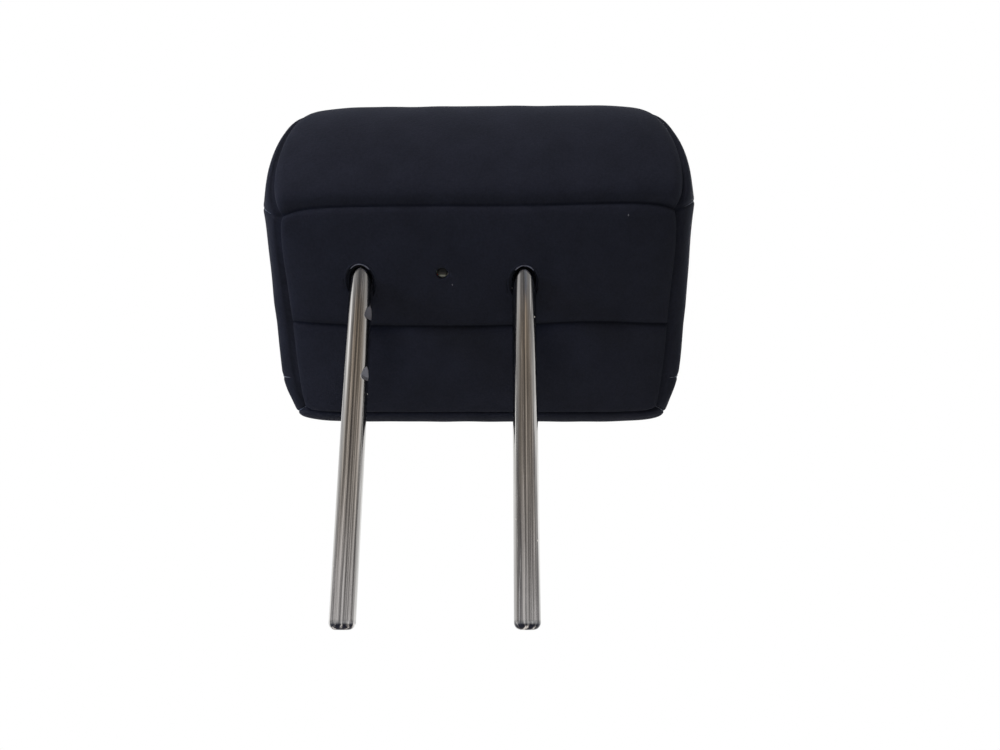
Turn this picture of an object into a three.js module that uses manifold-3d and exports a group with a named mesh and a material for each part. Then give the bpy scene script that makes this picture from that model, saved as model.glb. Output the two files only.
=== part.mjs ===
// Car headrest for a rear seat: a bent tube frame with two posts, a moulded foam pad and a sewn cloth cover.
// Lengths are in millimetres. +Z is up along the posts and +Y points to the head, so -Y is the rear.
// The origin lies midway between the lower ends of the two posts.

import * as THREE from 'three';
import { mergeVertices } from 'three/addons/utils/BufferGeometryUtils.js';
import Module from 'manifold-3d';

const wasm = await Module();
wasm.setup();

// Tube frame
const postDiameter = 14;
const postWall = 2.5;
const postSpacing = 96; // between the two post axes
const postReach = 197.5; // lower end of a post to the cover, along its axis
const tipRounding = 3.8;
const tipMouthDiameter = 4.4; // the tube end is rolled in to this opening
const tipMouthNeck = 2; // straight part of the opening
const tipMouthDepth = 5; // the full bore starts here
const kneeRadius = 45; // forward bend inside the pad
const shoulderRadius = 25; // bend into the cross bar
const kneeAboveSeal = 18; // corner where the posts lean forward, above their seals
const barBelowTop = 42; // cross bar axis below the top of the pad
const barAheadOfPosts = 30;

// Locking notches in the inner side of the left post
const notchDepth = 1.35;
const notchRamp = 6.2; // a notch deepens downwards over this height
const notchShelf = 2; // and comes out again over this one
const notchTurn = 21; // degrees from the inner side towards the rear
const notchBelowEntry = 24; // upper notch's deepest line below the cover
const notchPitch = 36.8;

// Support plate welded across the front of the tube
const plateThickness = 1.5;
const plateWidth = 150;
const plateAboveBar = 5; // its upper edge past the cross bar's axis
const plateKneeMargin = 1; // its lower edge past the end of the forward bend
const plateCornerRadius = 10;
const plateHoleDiameter = 12;
const plateHolePitch = 34;

// Pad, seen from the side: heights and reaches are taken from where the posts enter its underside
const padOffset = 21.5; // the pad's middle lies this far to the right of the posts' middle
const padHalfWidth = 128;
const bandBulge = 12; // how far the side band stands out past its seams
const topBandBulge = 4.5; // the same at the rear seam over the top
const rearSlope = 44; // degrees, rear part of the underside
const lowerSlope = 51.5; // degrees, lower part of the underside
const ridgeBehindPosts = 32.4;
const slopeSeamAheadOfPosts = 21.9;
const lipSeamAheadOfPosts = 58.2;
const topAboveRidge = 87.3;
const topSeamAheadOfPosts = 5;
const rearRoundCentre = 11; // ahead of the posts
const rearRoundRise = 25.2; // its centre above the ridge
const frontAheadOfPosts = 90;
const frontLowRise = 27; // start of the flat face above the lip seam
const lipDrop = 5.8; // the lip hangs this far below its seam
const frontTopAheadOfPosts = 78;
const frontTopDrop = 18.5; // front top seam below the rear top seam
const frontCrown = 3;
const rearRoundTopShare = 0.989; // the top seam's height within the half height of the rear round
const lipLead = 4.5; // the lip's curve leaves its seam this far ahead
const lipReturn = 2.5; // and comes up this far behind the front face
const lipReturnRise = 1;
const faceLead = 0.3; // shares of the front face's height where it stands furthest out
const faceReturn = 0.72;
const topHalfWidth = 95; // straight part of the top
const cornerHeight = 90; // height of the rounded upper corners
const lipTaper = 3; // the side seams draw in by this much at the lip
const ridgeNip = 3; // and by this much at the ridge
const ridgeEndFall = 6; // the ridge seam's left end lies this far below its middle
const ridgeRightFall = 1; // and its right end this far
const ridgeRightRise = 4; // between, its right half stands up by a share of this
const panelCrown = 3.2;
const upperCrown = 1.5; // of the upper rear panel
const upperWiden = 3; // the upper rear panel is this much wider on each side
const ridgeBulge = 2; // the band stands out this much more beside the ridge
const ridgeLift = 14; // the band's seam at the ridge climbs by this much as it leaves the corner
const edgeDrop = 4.5; // the panels fall back towards their side seams
const ridgeEdgeDrop = 3; // and this much more at the ridge
const lipEdgeEase = 2; // and this much less at the lip
const lipFlare = 7.5; // the lip's ends widen by this much between its seams
const lipEndRise = 3; // and rise by this much
const lipCornerRise = 2.8; // the lip seam's corners stand this far above its middle
const spineBehindFront = 17; // lower end of the pad's inner spine behind the front face
const spineAboveLip = 18;
const spineBehindTop = 10; // its upper end behind the middle of the top
const spineBelowTop = 43;

// Cover, foam and small pieces
const clothThickness = 3;
const seamGap = 0.5; // between two neighbouring cover panels
const clothClearance = 0.4; // cover to foam
const frameClearance = 0.3; // foam to frame, plate, seals and plug
const sealWall = 2;
const sealLength = 12; // above the cover, along the post
const sealClearance = 0.3; // seal to post
const sealRecess = 1.6; // the seal's lower face below the cover's surface
const plugStemDiameter = 4.5;
const plugHeadDiameter = 6.4;
const plugHeadThickness = 1;
const plugLength = 14;
const plugRecess = 1.2;
const plugChamfer = 1;
const plugBehindPosts = 3.8;

const degree = Math.PI / 180;
const postRadius = postDiameter / 2;
const seamHalf = padHalfWidth - bandBulge;
const upperSeamHalf = seamHalf + upperWiden;
const parts = new THREE.Group();

// Side view: x of each Vector2 is the row's Y, y is its Z
const ridge = new THREE.Vector2(
  -ridgeBehindPosts,
  postReach + ridgeBehindPosts * Math.tan(rearSlope * degree),
);
const slopeSeam = new THREE.Vector2(
  slopeSeamAheadOfPosts,
  postReach - slopeSeamAheadOfPosts * Math.tan(rearSlope * degree),
);
const lipSeam = new THREE.Vector2(
  lipSeamAheadOfPosts,
  slopeSeam.y - (lipSeamAheadOfPosts - slopeSeamAheadOfPosts) * Math.tan(lowerSlope * degree),
);
const topSeam = new THREE.Vector2(topSeamAheadOfPosts, ridge.y + topAboveRidge);
const frontTop = new THREE.Vector2(frontTopAheadOfPosts, topSeam.y - frontTopDrop);
const frontLow = new THREE.Vector2(frontAheadOfPosts, lipSeam.y + frontLowRise);

// The upper rear of the pad is part of an ellipse through the ridge and the top seam
const roundCentre = new THREE.Vector2(rearRoundCentre, ridge.y + rearRoundRise);
const roundHeight = (topSeam.y - roundCentre.y) / rearRoundTopShare;
const roundStart = -Math.asin(rearRoundRise / roundHeight);
const roundEnd = Math.asin((topSeam.y - roundCentre.y) / roundHeight);
const roundStartDepth = (roundCentre.x - ridge.x) / Math.cos(roundStart);
const roundEndDepth = (roundCentre.x - topSeam.x) / Math.cos(roundEnd);

const lipCurve = new THREE.CubicBezierCurve(
  lipSeam,
  new THREE.Vector2(lipSeam.x + lipLead, lipSeam.y - lipDrop),
  new THREE.Vector2(frontLow.x - lipReturn, lipSeam.y - lipDrop + lipReturnRise),
  frontLow,
);
const frontCurve = new THREE.CubicBezierCurve(
  frontLow,
  new THREE.Vector2(frontLow.x + frontCrown, THREE.MathUtils.lerp(frontLow.y, frontTop.y, faceLead)),
  new THREE.Vector2(frontLow.x + frontCrown, THREE.MathUtils.lerp(frontLow.y, frontTop.y, faceReturn)),
  frontTop,
);

// A point of the upper rear curve: w runs from the ridge, 0, to the top seam, 1
function upperRearPoint(w) {
  const angle = THREE.MathUtils.lerp(roundStart, roundEnd, w);
  const depth = THREE.MathUtils.lerp(roundStartDepth, roundEndDepth, w);
  return new THREE.Vector2(
    roundCentre.x - depth * Math.cos(angle),
    roundCentre.y + roundHeight * Math.sin(angle),
  );
}

// The profile of the pad in four stretches, each given from 0 to 1 along the way up
const stretches = {
  lower: (w) => lipSeam.clone().lerp(slopeSeam, w),
  rear: (w) => slopeSeam.clone().lerp(ridge, w),
  upper: upperRearPoint,
  lip: (w) => lipCurve.getPoint(w),
  face: (w) => frontCurve.getPoint(w),
};

// Outward normal in the side view; the rear stretches run up with the outside on their left
function profileNormal(stretch, w, outsideOnLeft) {
  const step = 0.001;
  const before = stretch(Math.max(0, w - step));
  const after = stretch(Math.min(1, w + step));
  const along = after.sub(before).normalize();
  const side = outsideOnLeft ? 1 : -1;
  return new THREE.Vector2(-along.y * side, along.x * side);
}

// Half width between the side seams at a height, with the elliptical upper corners
function seamHalfWidth(height, topHeight, sideHalf) {
  const t = THREE.MathUtils.clamp((height - (topHeight - cornerHeight)) / cornerHeight, 0, 1);
  return topHalfWidth + (sideHalf - topHalfWidth) * Math.sqrt(1 - t * t);
}

// Rounded top of a crowned panel, 0 at its seams and 1 in the middle
function crownShape(w) {
  return Math.sin(Math.PI * w) ** 0.7;
}

// A spine plate inside the pad: seams fall back towards it, and walls get their thickness towards it,
// so that panels that meet at a seam agree there
const spineLow = new THREE.Vector2(frontLow.x - spineBehindFront, lipSeam.y + spineAboveLip);
const spineHigh = new THREE.Vector2(
  (topSeam.x + frontTop.x) / 2 - spineBehindTop,
  topSeam.y - spineBelowTop,
);
const spineHalfWidth = topHalfWidth;

function nearestOnSpine(side) {
  const along = spineHigh.clone().sub(spineLow);
  const t = THREE.MathUtils.clamp(side.clone().sub(spineLow).dot(along) / along.lengthSq(), 0, 1);
  return spineLow.clone().addScaledVector(along, t);
}

// A profile point raised along its normal and dropped towards the spine, at a place across the pad
function placeAcross(base, normal, x, raise, drop) {
  const back = nearestOnSpine(base).sub(base).normalize().multiplyScalar(drop);
  return new THREE.Vector3(
    padOffset + x,
    base.x + normal.x * raise + back.x,
    base.y + normal.y * raise + back.y,
  );
}

// How close a place up a rear panel is to the ridge seam: 1 on the seam, 0 away from it
function nearRidgeShare(panel, w) {
  return { lower: 0, rear: w ** 8, upper: (1 - w) ** 16 }[panel];
}

// How far the ridge seam lies below its middle, at a place across
function ridgeFall(u) {
  if (u < 0) return (ridgeEndFall * (u ** 4 + u ** 20)) / 2;
  return ridgeRightFall * u ** 20 - ridgeRightRise * u ** 2 * (1 - u ** 6);
}

// Rear panels: u is -1 to 1 across, w is 0 to 1 up within the panel
function rearPoint(panel, u, w) {
  const base = stretches[panel](w);
  const normal = profileNormal(stretches[panel], w, true);
  const nearLip = panel === 'lower' ? 1 - w : 0;
  const nearRidge = nearRidgeShare(panel, w);
  const sideHalf = panel === 'upper' ? THREE.MathUtils.lerp(upperSeamHalf, seamHalf, nearRidge) : seamHalf;
  const crown = panel === 'upper' ? upperCrown : panelCrown;
  const half = seamHalfWidth(base.y, topSeam.y, sideHalf) - lipTaper * nearLip ** 2 - ridgeNip * nearRidge;
  const drop = (edgeDrop + ridgeEdgeDrop * nearRidge - lipEdgeEase * nearLip ** 2) * u ** 10;
  const point = placeAcross(base, normal, u * half, crown * crownShape(w) * (1 - u ** 8), drop);
  const nearSeam = { lower: 0, rear: w ** 4, upper: (1 - w) ** 6 }[panel];
  point.z += lipCornerRise * u ** 24 * nearLip ** 3 - ridgeFall(u) * nearSeam;
  return point;
}

// Front panel: the lip first, w 0 to 1, then the face, w 1 to 2
function frontPoint(u, w) {
  const onLip = w <= 1;
  const stretch = onLip ? stretches.lip : stretches.face;
  const local = onLip ? w : w - 1;
  const base = stretch(local);
  const normal = profileNormal(stretch, local, false);
  const taper = lipTaper * (onLip ? 1 : (1 - local) ** 4);
  const flare = onLip ? lipFlare * Math.sin(Math.PI * local) : 0;
  const half = seamHalfWidth(base.y, frontTop.y, seamHalf) - taper + flare;
  const drop = (edgeDrop - (onLip ? lipEdgeEase * (1 - local) : 0)) * u ** 10;
  const raise = onLip ? 0 : panelCrown * crownShape(local) * (1 - u ** 8);
  const point = placeAcross(base, normal, u * half, raise, drop);
  if (onLip) {
    point.z += lipCornerRise * u ** 24 * (1 - local) ** 3;
    point.z += lipEndRise * u ** 16 * Math.sin(Math.PI * local ** 0.8);
  }
  return point;
}

// Grid lines. Across, they close up towards the side seams, where the pad turns most
const acrossCount = 14;
const acrossAngle = 75 * degree;
const across = Array.from({ length: acrossCount + 1 }, (_, i) => {
  const k = (2 * i) / acrossCount - 1;
  return Math.sin(k * acrossAngle) / Math.sin(acrossAngle);
});
const rowCounts = { lower: 6, rear: 5, upper: 8 };
const cornerRows = 2; // rows of the lower panel beside the corner pieces of the band
const ridgeLiftRows = 4; // rows on each side of the ridge that share the band's climb
const bandStations = [0, 0.03, 0.08, 0.18, 0.5, 0.82, 0.92, 0.97, 1]; // also down the lip

// Rows beside the band, bottom to top: which panel, and how far up it
const sideRows = [];
for (const panel of ['lower', 'rear', 'upper']) {
  for (let i = sideRows.length === 0 ? 0 : 1; i <= rowCounts[panel]; i += 1) {
    sideRows.push({ panel, w: i / rowCounts[panel] });
  }
}
const sideCount = sideRows.length - 1;
const ridgeRow = rowCounts.lower + rowCounts.rear;

// Outward direction of the band in the front view, at a height up its rear seam
function bandNormal(sign, height) {
  const t = THREE.MathUtils.clamp((height - (topSeam.y - cornerHeight)) / cornerHeight, 0, 1);
  const cornerWidth = upperSeamHalf - topHalfWidth;
  const outward = new THREE.Vector3(sign * cornerHeight * Math.sqrt(1 - t * t), 0, cornerWidth * t);
  return outward.normalize();
}

// Band beside and over the pad: a bulged strip between its rear and front seams, s is 0 to 1 forwards
function bulgeShape(s) {
  return (1 - Math.abs(2 * s - 1) ** 7) ** 0.65;
}

function bandPoint(rearEdge, frontEdge, outward, s, rearBulge) {
  const bulge = THREE.MathUtils.lerp(rearBulge, bandBulge, s) * bulgeShape(s);
  return rearEdge.clone().lerp(frontEdge, s).addScaledVector(outward, bulge);
}

function sideBandPoint(sign, row, s) {
  const { panel, w } = sideRows[row];
  const rise = row / sideCount;
  const rearEdge = rearPoint(panel, sign, w);
  const frontEdge = frontPoint(sign, 1 + rise);
  const outward = bandNormal(sign, stretches[panel](w).y);
  // Where the seam draws in at the ridge, only the edge of the band goes with it
  const nearRidge = nearRidgeShare(panel, w);
  const widened = panel === 'upper' ? upperWiden * (1 - nearRidge) : 0;
  const towardsTop = panel === 'upper' ? w ** 0.6 : 0;
  const sideBulge = THREE.MathUtils.lerp(bandBulge, topBandBulge + upperWiden, towardsTop);
  const rearBulge = sideBulge - widened + (ridgeNip + ridgeBulge) * nearRidge;
  const point = bandPoint(rearEdge, frontEdge, outward, s, rearBulge);
  const ridgeShare = Math.max(0, 1 - Math.abs(row - ridgeRow) / ridgeLiftRows);
  point.z += ridgeLift * ridgeShare * (1 - (1 - s) ** 7) * (1 - s);
  // The lowest rows run over into the side edge of the lip
  const blend = Math.max(0, 1 - row / (cornerRows + 1)) ** 2;
  const lowest = bandPoint(rearPoint('lower', sign, 0), frontPoint(sign, 1), outward, s, bandBulge);
  return point.addScaledVector(frontPoint(sign, s).sub(lowest), blend);
}

function topBandPoint(u, s) {
  const rearEdge = rearPoint('upper', u, 1);
  const frontEdge = frontPoint(u, 2);
  const up = new THREE.Vector3(0, 0, 1);
  return bandPoint(rearEdge, frontEdge, up, s, topBandBulge);
}

// Inward direction of the walls
function inward(point) {
  const near = nearestOnSpine(new THREE.Vector2(point.y, point.z));
  const x = padOffset + THREE.MathUtils.clamp(point.x - padOffset, -spineHalfWidth, spineHalfWidth);
  return new THREE.Vector3(x - point.x, near.x - point.y, near.y - point.z).normalize();
}

function moveInward(point, distance) {
  return point.clone().addScaledVector(inward(point), distance);
}

// Closed geometry from points and triangles, with its faces turned outwards
function closedGeometry(positions, triangles) {
  const geometry = new THREE.BufferGeometry();
  geometry.setAttribute('position', new THREE.Float32BufferAttribute(positions, 3));
  geometry.setIndex(triangles);
  const merged = mergeVertices(geometry, 1e-3);
  const p = merged.getAttribute('position');
  const source = merged.getIndex().array;
  const corners = [new THREE.Vector3(), new THREE.Vector3(), new THREE.Vector3()];
  const kept = [];
  let volume = 0;
  for (let i = 0; i < source.length; i += 3) {
    const face = [source[i], source[i + 1], source[i + 2]];
    if (new Set(face).size === 3) {
      face.forEach((index, k) => corners[k].fromBufferAttribute(p, index));
      volume += corners[0].dot(corners[1].clone().cross(corners[2]));
      kept.push(face);
    }
  }
  merged.setIndex(kept.flatMap((face) => (volume < 0 ? [face[0], face[2], face[1]] : face)));
  return merged;
}

function addQuad(triangles, a, b, c, d) {
  triangles.push(a, b, c, a, c, d);
}

// A sheet of even thickness from a grid of outer points
function sheetGeometry(grid, thickness) {
  const rows = grid.length;
  const columns = grid[0].length;
  const outer = grid.flat();
  const points = [...outer, ...outer.map((point) => moveInward(point, thickness))];
  const positions = points.flatMap((point) => point.toArray());
  const inner = outer.length;
  const at = (r, c) => r * columns + c;
  const triangles = [];
  for (let r = 0; r < rows - 1; r += 1) {
    for (let c = 0; c < columns - 1; c += 1) {
      addQuad(triangles, at(r, c), at(r, c + 1), at(r + 1, c + 1), at(r + 1, c));
      const under = [at(r, c), at(r + 1, c), at(r + 1, c + 1), at(r, c + 1)].map((index) => inner + index);
      addQuad(triangles, ...under);
    }
  }
  const rim = [];
  for (let c = 0; c < columns - 1; c += 1) rim.push(at(0, c));
  for (let r = 0; r < rows - 1; r += 1) rim.push(at(r, columns - 1));
  for (let c = columns - 1; c > 0; c -= 1) rim.push(at(rows - 1, c));
  for (let r = rows - 1; r > 0; r -= 1) rim.push(at(r, 0));
  rim.forEach((here, i) => {
    const next = rim[(i + 1) % rim.length];
    addQuad(triangles, next, here, inner + here, inner + next);
  });
  return closedGeometry(positions, triangles);
}

// Moves the outer rows and columns of a grid half a seam gap in from the seams
function seamTrimmed(grid) {
  const half = seamGap / 2;
  const towards = (from, to) => from.clone().addScaledVector(to.clone().sub(from).normalize(), half);
  const trimmed = grid.map((row) => {
    const last = row.length - 1;
    return row.map((point, c) => {
      if (c === 0) return towards(point, row[1]);
      return c === last ? towards(point, row[last - 1]) : point;
    });
  });
  const last = trimmed.length - 1;
  const first = trimmed[0].map((point, c) => towards(point, trimmed[1][c]));
  const end = trimmed[last].map((point, c) => towards(point, trimmed[last - 1][c]));
  return [first, ...trimmed.slice(1, last), end];
}

function rearGrid(panel) {
  const count = rowCounts[panel];
  return Array.from({ length: count + 1 }, (_, i) => across.map((u) => rearPoint(panel, u, i / count)));
}

function frontGrid() {
  const lip = bandStations.map((w) => across.map((u) => frontPoint(u, w)));
  const face = [];
  for (let row = 1; row <= sideCount; row += 1) {
    face.push(across.map((u) => frontPoint(u, 1 + row / sideCount)));
  }
  return [...lip, ...face];
}

// Rows run the way the band runs: up the left side, over the top and down the right side
function sideBandGrid(sign, firstRow, lastRow) {
  const rows = [];
  for (let row = firstRow; row <= lastRow; row += 1) {
    rows.push(bandStations.map((s) => sideBandPoint(sign, row, s)));
  }
  return sign < 0 ? rows : rows.reverse();
}

function topBandGrid() {
  return across.map((u) => bandStations.map((s) => topBandPoint(u, s)));
}

// The whole outer surface moved inwards, as one closed body
function padBody(distance) {
  const grids = [
    [rearGrid('lower'), false],
    [rearGrid('rear'), false],
    [rearGrid('upper'), false],
    [frontGrid(), true],
    [sideBandGrid(-1, 0, sideCount), true],
    [sideBandGrid(1, 0, sideCount), true],
    [topBandGrid(), true],
  ];
  const positions = [];
  const triangles = [];
  for (const [grid, flipped] of grids) {
    const base = positions.length / 3;
    const columns = grid[0].length;
    grid.flat().forEach((point) => positions.push(...moveInward(point, distance).toArray()));
    for (let r = 0; r < grid.length - 1; r += 1) {
      for (let c = 0; c < columns - 1; c += 1) {
        const corner = base + r * columns + c;
        const [second, last] = flipped ? [columns, 1] : [1, columns];
        addQuad(triangles, corner, corner + second, corner + columns + 1, corner + last);
      }
    }
  }
  return closedGeometry(positions, triangles);
}

// Booleans
function toSolid(geometry) {
  const bare = geometry.clone();
  bare.deleteAttribute('normal');
  bare.deleteAttribute('uv');
  const welded = mergeVertices(bare, 1e-4);
  return new wasm.Manifold(
    new wasm.Mesh({
      numProp: 3,
      vertProperties: Float32Array.from(welded.getAttribute('position').array),
      triVerts: Uint32Array.from(welded.getIndex().array),
    }),
  );
}

function fromSolid(solid) {
  const mesh = solid.getMesh();
  const geometry = new THREE.BufferGeometry();
  geometry.setAttribute('position', new THREE.Float32BufferAttribute(mesh.vertProperties, 3));
  geometry.setIndex(Array.from(mesh.triVerts));
  return geometry;
}

// Round bar between two heights, upright at (x, y)
function uprightBar(x, y, low, high, radius, sides = 28) {
  const geometry = new THREE.CylinderGeometry(radius, radius, high - low, sides);
  geometry.rotateX(Math.PI / 2);
  geometry.translate(x, y, (low + high) / 2);
  return geometry;
}

// Frame path: straight runs joined by arcs, as stations with a place and a direction
function bentPath(corners, radii, arcSteps) {
  const stations = [];
  const add = (place, direction) => stations.push({ place, direction: direction.clone().normalize() });
  corners.forEach((corner, i) => {
    if (i === 0) {
      add(corner, corners[1].clone().sub(corner));
      return;
    }
    if (i === corners.length - 1) {
      add(corner, corner.clone().sub(corners[i - 1]));
      return;
    }
    const arriving = corner.clone().sub(corners[i - 1]).normalize();
    const leaving = corners[i + 1].clone().sub(corner).normalize();
    const turn = arriving.angleTo(leaving);
    const setback = radii[i - 1] * Math.tan(turn / 2);
    const axis = arriving.clone().cross(leaving).normalize();
    const start = corner.clone().addScaledVector(arriving, -setback);
    const centre = start.clone().addScaledVector(axis.clone().cross(arriving), radii[i - 1]);
    for (let k = 0; k <= arcSteps; k += 1) {
      const angle = (turn * k) / arcSteps;
      const place = start.clone().sub(centre).applyAxisAngle(axis, angle).add(centre);
      add(place, arriving.clone().applyAxisAngle(axis, angle));
    }
  });
  return stations;
}

// Round bar along stations; each has its own radius, and its rings don't twist
function sweptBar(stations, sides) {
  const positions = [];
  const triangles = [];
  let side = new THREE.Vector3(1, 0, 0);
  stations.forEach(({ place, direction, radius }, i) => {
    const previous = i > 0 ? stations[i - 1].direction : direction;
    const turn = new THREE.Quaternion().setFromUnitVectors(previous, direction);
    side = side.applyQuaternion(turn);
    const other = direction.clone().cross(side);
    for (let k = 0; k < sides; k += 1) {
      const angle = (2 * Math.PI * k) / sides;
      const rim = side.clone().multiplyScalar(Math.cos(angle)).addScaledVector(other, Math.sin(angle));
      positions.push(...place.clone().addScaledVector(rim, radius).toArray());
    }
  });
  for (let i = 0; i < stations.length - 1; i += 1) {
    for (let k = 0; k < sides; k += 1) {
      const next = (k + 1) % sides;
      addQuad(triangles, i * sides + k, i * sides + next, (i + 1) * sides + next, (i + 1) * sides + k);
    }
  }
  [0, stations.length - 1].forEach((i) => {
    const centre = positions.length / 3;
    positions.push(...stations[i].place.toArray());
    for (let k = 0; k < sides; k += 1) {
      const next = i * sides + ((k + 1) % sides);
      triangles.push(...(i === 0 ? [centre, next, i * sides + k] : [centre, i * sides + k, next]));
    }
  });
  return closedGeometry(positions, triangles);
}

const barHeight = topSeam.y - barBelowTop;
const kneeHeight = postReach + sealLength + kneeAboveSeal;
const lean = Math.atan2(barAheadOfPosts, barHeight - kneeHeight);
const frameSides = 24;
const boreSides = 14;
const bendSteps = 6;
const cutterReach = 5; // how far a cutting body runs on past the face that it opens

function framePath(extra) {
  const half = postSpacing / 2;
  const corners = [
    new THREE.Vector3(-half, 0, -extra),
    new THREE.Vector3(-half, 0, kneeHeight),
    new THREE.Vector3(-half, barAheadOfPosts, barHeight),
    new THREE.Vector3(half, barAheadOfPosts, barHeight),
    new THREE.Vector3(half, 0, kneeHeight),
    new THREE.Vector3(half, 0, -extra),
  ];
  return bentPath(corners, [kneeRadius, shoulderRadius, shoulderRadius, kneeRadius], bendSteps);
}

// A bar with its two lower ends shaped: each step gives a height above the post end and a radius
function frameBar(radius, endSteps, extra, sides) {
  const path = framePath(extra).map((station) => ({ ...station, radius }));
  const shapedEnd = (end) => endSteps.map(([height, endRadius]) => ({
    ...end,
    place: new THREE.Vector3(end.place.x, end.place.y, height),
    radius: endRadius,
  }));
  const inner = path.slice(1, -1);
  return sweptBar([...shapedEnd(path[0]), ...inner, ...shapedEnd(path.at(-1)).reverse()], sides);
}

function roundedEndSteps() {
  return [0, 30, 60, 90].map((angle) => [
    tipRounding * (1 - Math.cos(angle * degree)),
    postRadius - tipRounding * (1 - Math.sin(angle * degree)),
  ]);
}

// A level three-sided cutter: its lowest edge lies at the notch's depth, and its faces run out above and below
function notchCutter(height) {
  const section = new THREE.Shape([
    new THREE.Vector2(postRadius - notchDepth, 0),
    new THREE.Vector2(postRadius + notchDepth, -2 * notchShelf),
    new THREE.Vector2(postRadius + notchDepth, 2 * notchRamp),
  ]);
  const length = postDiameter + 2 * cutterReach;
  const cutter = new THREE.ExtrudeGeometry(section, { depth: length, bevelEnabled: false });
  cutter.translate(0, 0, -length / 2);
  cutter.rotateX(Math.PI / 2);
  cutter.rotateZ(-notchTurn * degree);
  cutter.translate(-postSpacing / 2, 0, height);
  return cutter;
}

function frameGeometry() {
  const outer = toSolid(frameBar(postRadius, roundedEndSteps(), 0, frameSides));
  const boreRadius = postRadius - postWall;
  const mouthRadius = tipMouthDiameter / 2;
  const boreSteps = [
    [-cutterReach, mouthRadius],
    [tipMouthNeck, mouthRadius],
    [tipMouthDepth, boreRadius],
  ];
  const bore = toSolid(frameBar(boreRadius, boreSteps, 0, boreSides));
  const upperNotch = postReach - notchBelowEntry;
  return fromSolid(
    outer
      .subtract(bore)
      .subtract(toSolid(notchCutter(upperNotch)))
      .subtract(toSolid(notchCutter(upperNotch - notchPitch))),
  );
}

// Support plate: lies along the leaning part of the frame, in front of the tubes
const leanLength = Math.hypot(barAheadOfPosts, barHeight - kneeHeight);
const plateLow = kneeRadius * Math.tan(lean / 2) + plateKneeMargin;
const plateHigh = leanLength + plateAboveBar;
const plateHeight = plateHigh - plateLow;

function plateOutline(margin) {
  const width = plateWidth / 2 + margin;
  const height = plateHeight / 2 + margin;
  const r = plateCornerRadius + margin;
  const outline = new THREE.Shape();
  outline.moveTo(-width + r, -height);
  outline.lineTo(width - r, -height);
  outline.absarc(width - r, -height + r, r, -90 * degree, 0);
  outline.lineTo(width, height - r);
  outline.absarc(width - r, height - r, r, 0, 90 * degree);
  outline.lineTo(-width + r, height);
  outline.absarc(-width + r, height - r, r, 90 * degree, 180 * degree);
  outline.lineTo(-width, -height + r);
  outline.absarc(-width + r, -height + r, r, 180 * degree, 270 * degree);
  return outline;
}

function placePlate(geometry) {
  const offset = postRadius + frameClearance;
  geometry.rotateX(90 * degree - lean);
  const middle = (plateLow + plateHigh) / 2;
  geometry.translate(
    padOffset,
    middle * Math.sin(lean) + offset * Math.cos(lean),
    kneeHeight + middle * Math.cos(lean) - offset * Math.sin(lean),
  );
  return geometry;
}

function plateGeometry(margin, withHoles) {
  const outline = plateOutline(margin);
  if (withHoles) {
    [-1.5, -0.5, 0.5, 1.5].forEach((k) => {
      const hole = new THREE.Path();
      hole.absarc(k * plateHolePitch, 0, plateHoleDiameter / 2, 0, 2 * Math.PI, true);
      outline.holes.push(hole);
    });
  }
  const geometry = new THREE.ExtrudeGeometry(outline, {
    depth: plateThickness + 2 * margin,
    bevelEnabled: false,
    curveSegments: 5,
  });
  geometry.translate(0, 0, -plateThickness - margin);
  return placePlate(geometry);
}

// Post seals: short sleeves round the posts, cut off parallel to the cover
const sealInner = postRadius + sealClearance;
const sealOuter = sealInner + sealWall;
const sealSides = 24;

const sealStart = postReach - 3 * sealOuter; // below the cover all round the post

function sealReach(radius, extra) {
  return (sign) => toSolid(
    uprightBar((sign * postSpacing) / 2, 0, sealStart, postReach + sealLength + extra, radius, sealSides),
  );
}

function sealGeometry(sign) {
  const recessed = toSolid(padBody(sealRecess));
  const ring = sealReach(sealOuter, 0)(sign).subtract(sealReach(sealInner, cutterReach)(sign));
  return fromSolid(ring.intersect(recessed));
}

// Fill plug: a small disc and stem pressed into the foam's fill hole, square to the rear slope
const plugPlace = new THREE.Vector3(
  0,
  -plugBehindPosts,
  postReach + plugBehindPosts * Math.tan(rearSlope * degree),
);
const slopeAxis = new THREE.Vector3(0, Math.sin(rearSlope * degree), Math.cos(rearSlope * degree));

function plugGeometry(clearance) {
  const stem = plugStemDiameter / 2 + clearance;
  const head = plugHeadDiameter / 2 + clearance;
  const headTop = plugHeadThickness + clearance;
  const profile = [
    [0, -clearance],
    [head - plugChamfer, -clearance],
    [head, headTop * 0.4],
    [head, headTop],
    [stem, headTop],
    [stem, plugLength - plugChamfer + clearance],
    [stem - plugChamfer, plugLength + clearance],
    [0, plugLength + clearance],
  ].map(([x, y]) => new THREE.Vector2(x, y));
  const geometry = new THREE.LatheGeometry(profile, 20);
  const turn = new THREE.Quaternion().setFromUnitVectors(new THREE.Vector3(0, 1, 0), slopeAxis);
  geometry.applyQuaternion(turn);
  const upSlope = (slopeSeamAheadOfPosts + plugBehindPosts) / (slopeSeamAheadOfPosts + ridgeBehindPosts);
  const place = plugPlace.clone().addScaledVector(slopeAxis, plugRecess - panelCrown * crownShape(upSlope));
  geometry.translate(place.x, place.y, place.z);
  return geometry;
}

// Foam pad: the outer surface less the cover, with room for what it is moulded round
function foamGeometry() {
  const body = toSolid(padBody(clothThickness + clothClearance));
  const roomRadius = postRadius + frameClearance;
  const frameRoom = toSolid(frameBar(roomRadius, [[-cutterReach, roomRadius]], cutterReach, frameSides));
  const sealRoom = sealReach(sealOuter + frameClearance, frameClearance);
  return fromSolid(
    body
      .subtract(frameRoom)
      .subtract(toSolid(plateGeometry(frameClearance, false)))
      .subtract(sealRoom(-1))
      .subtract(sealRoom(1))
      .subtract(toSolid(plugGeometry(frameClearance))),
  );
}

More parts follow.
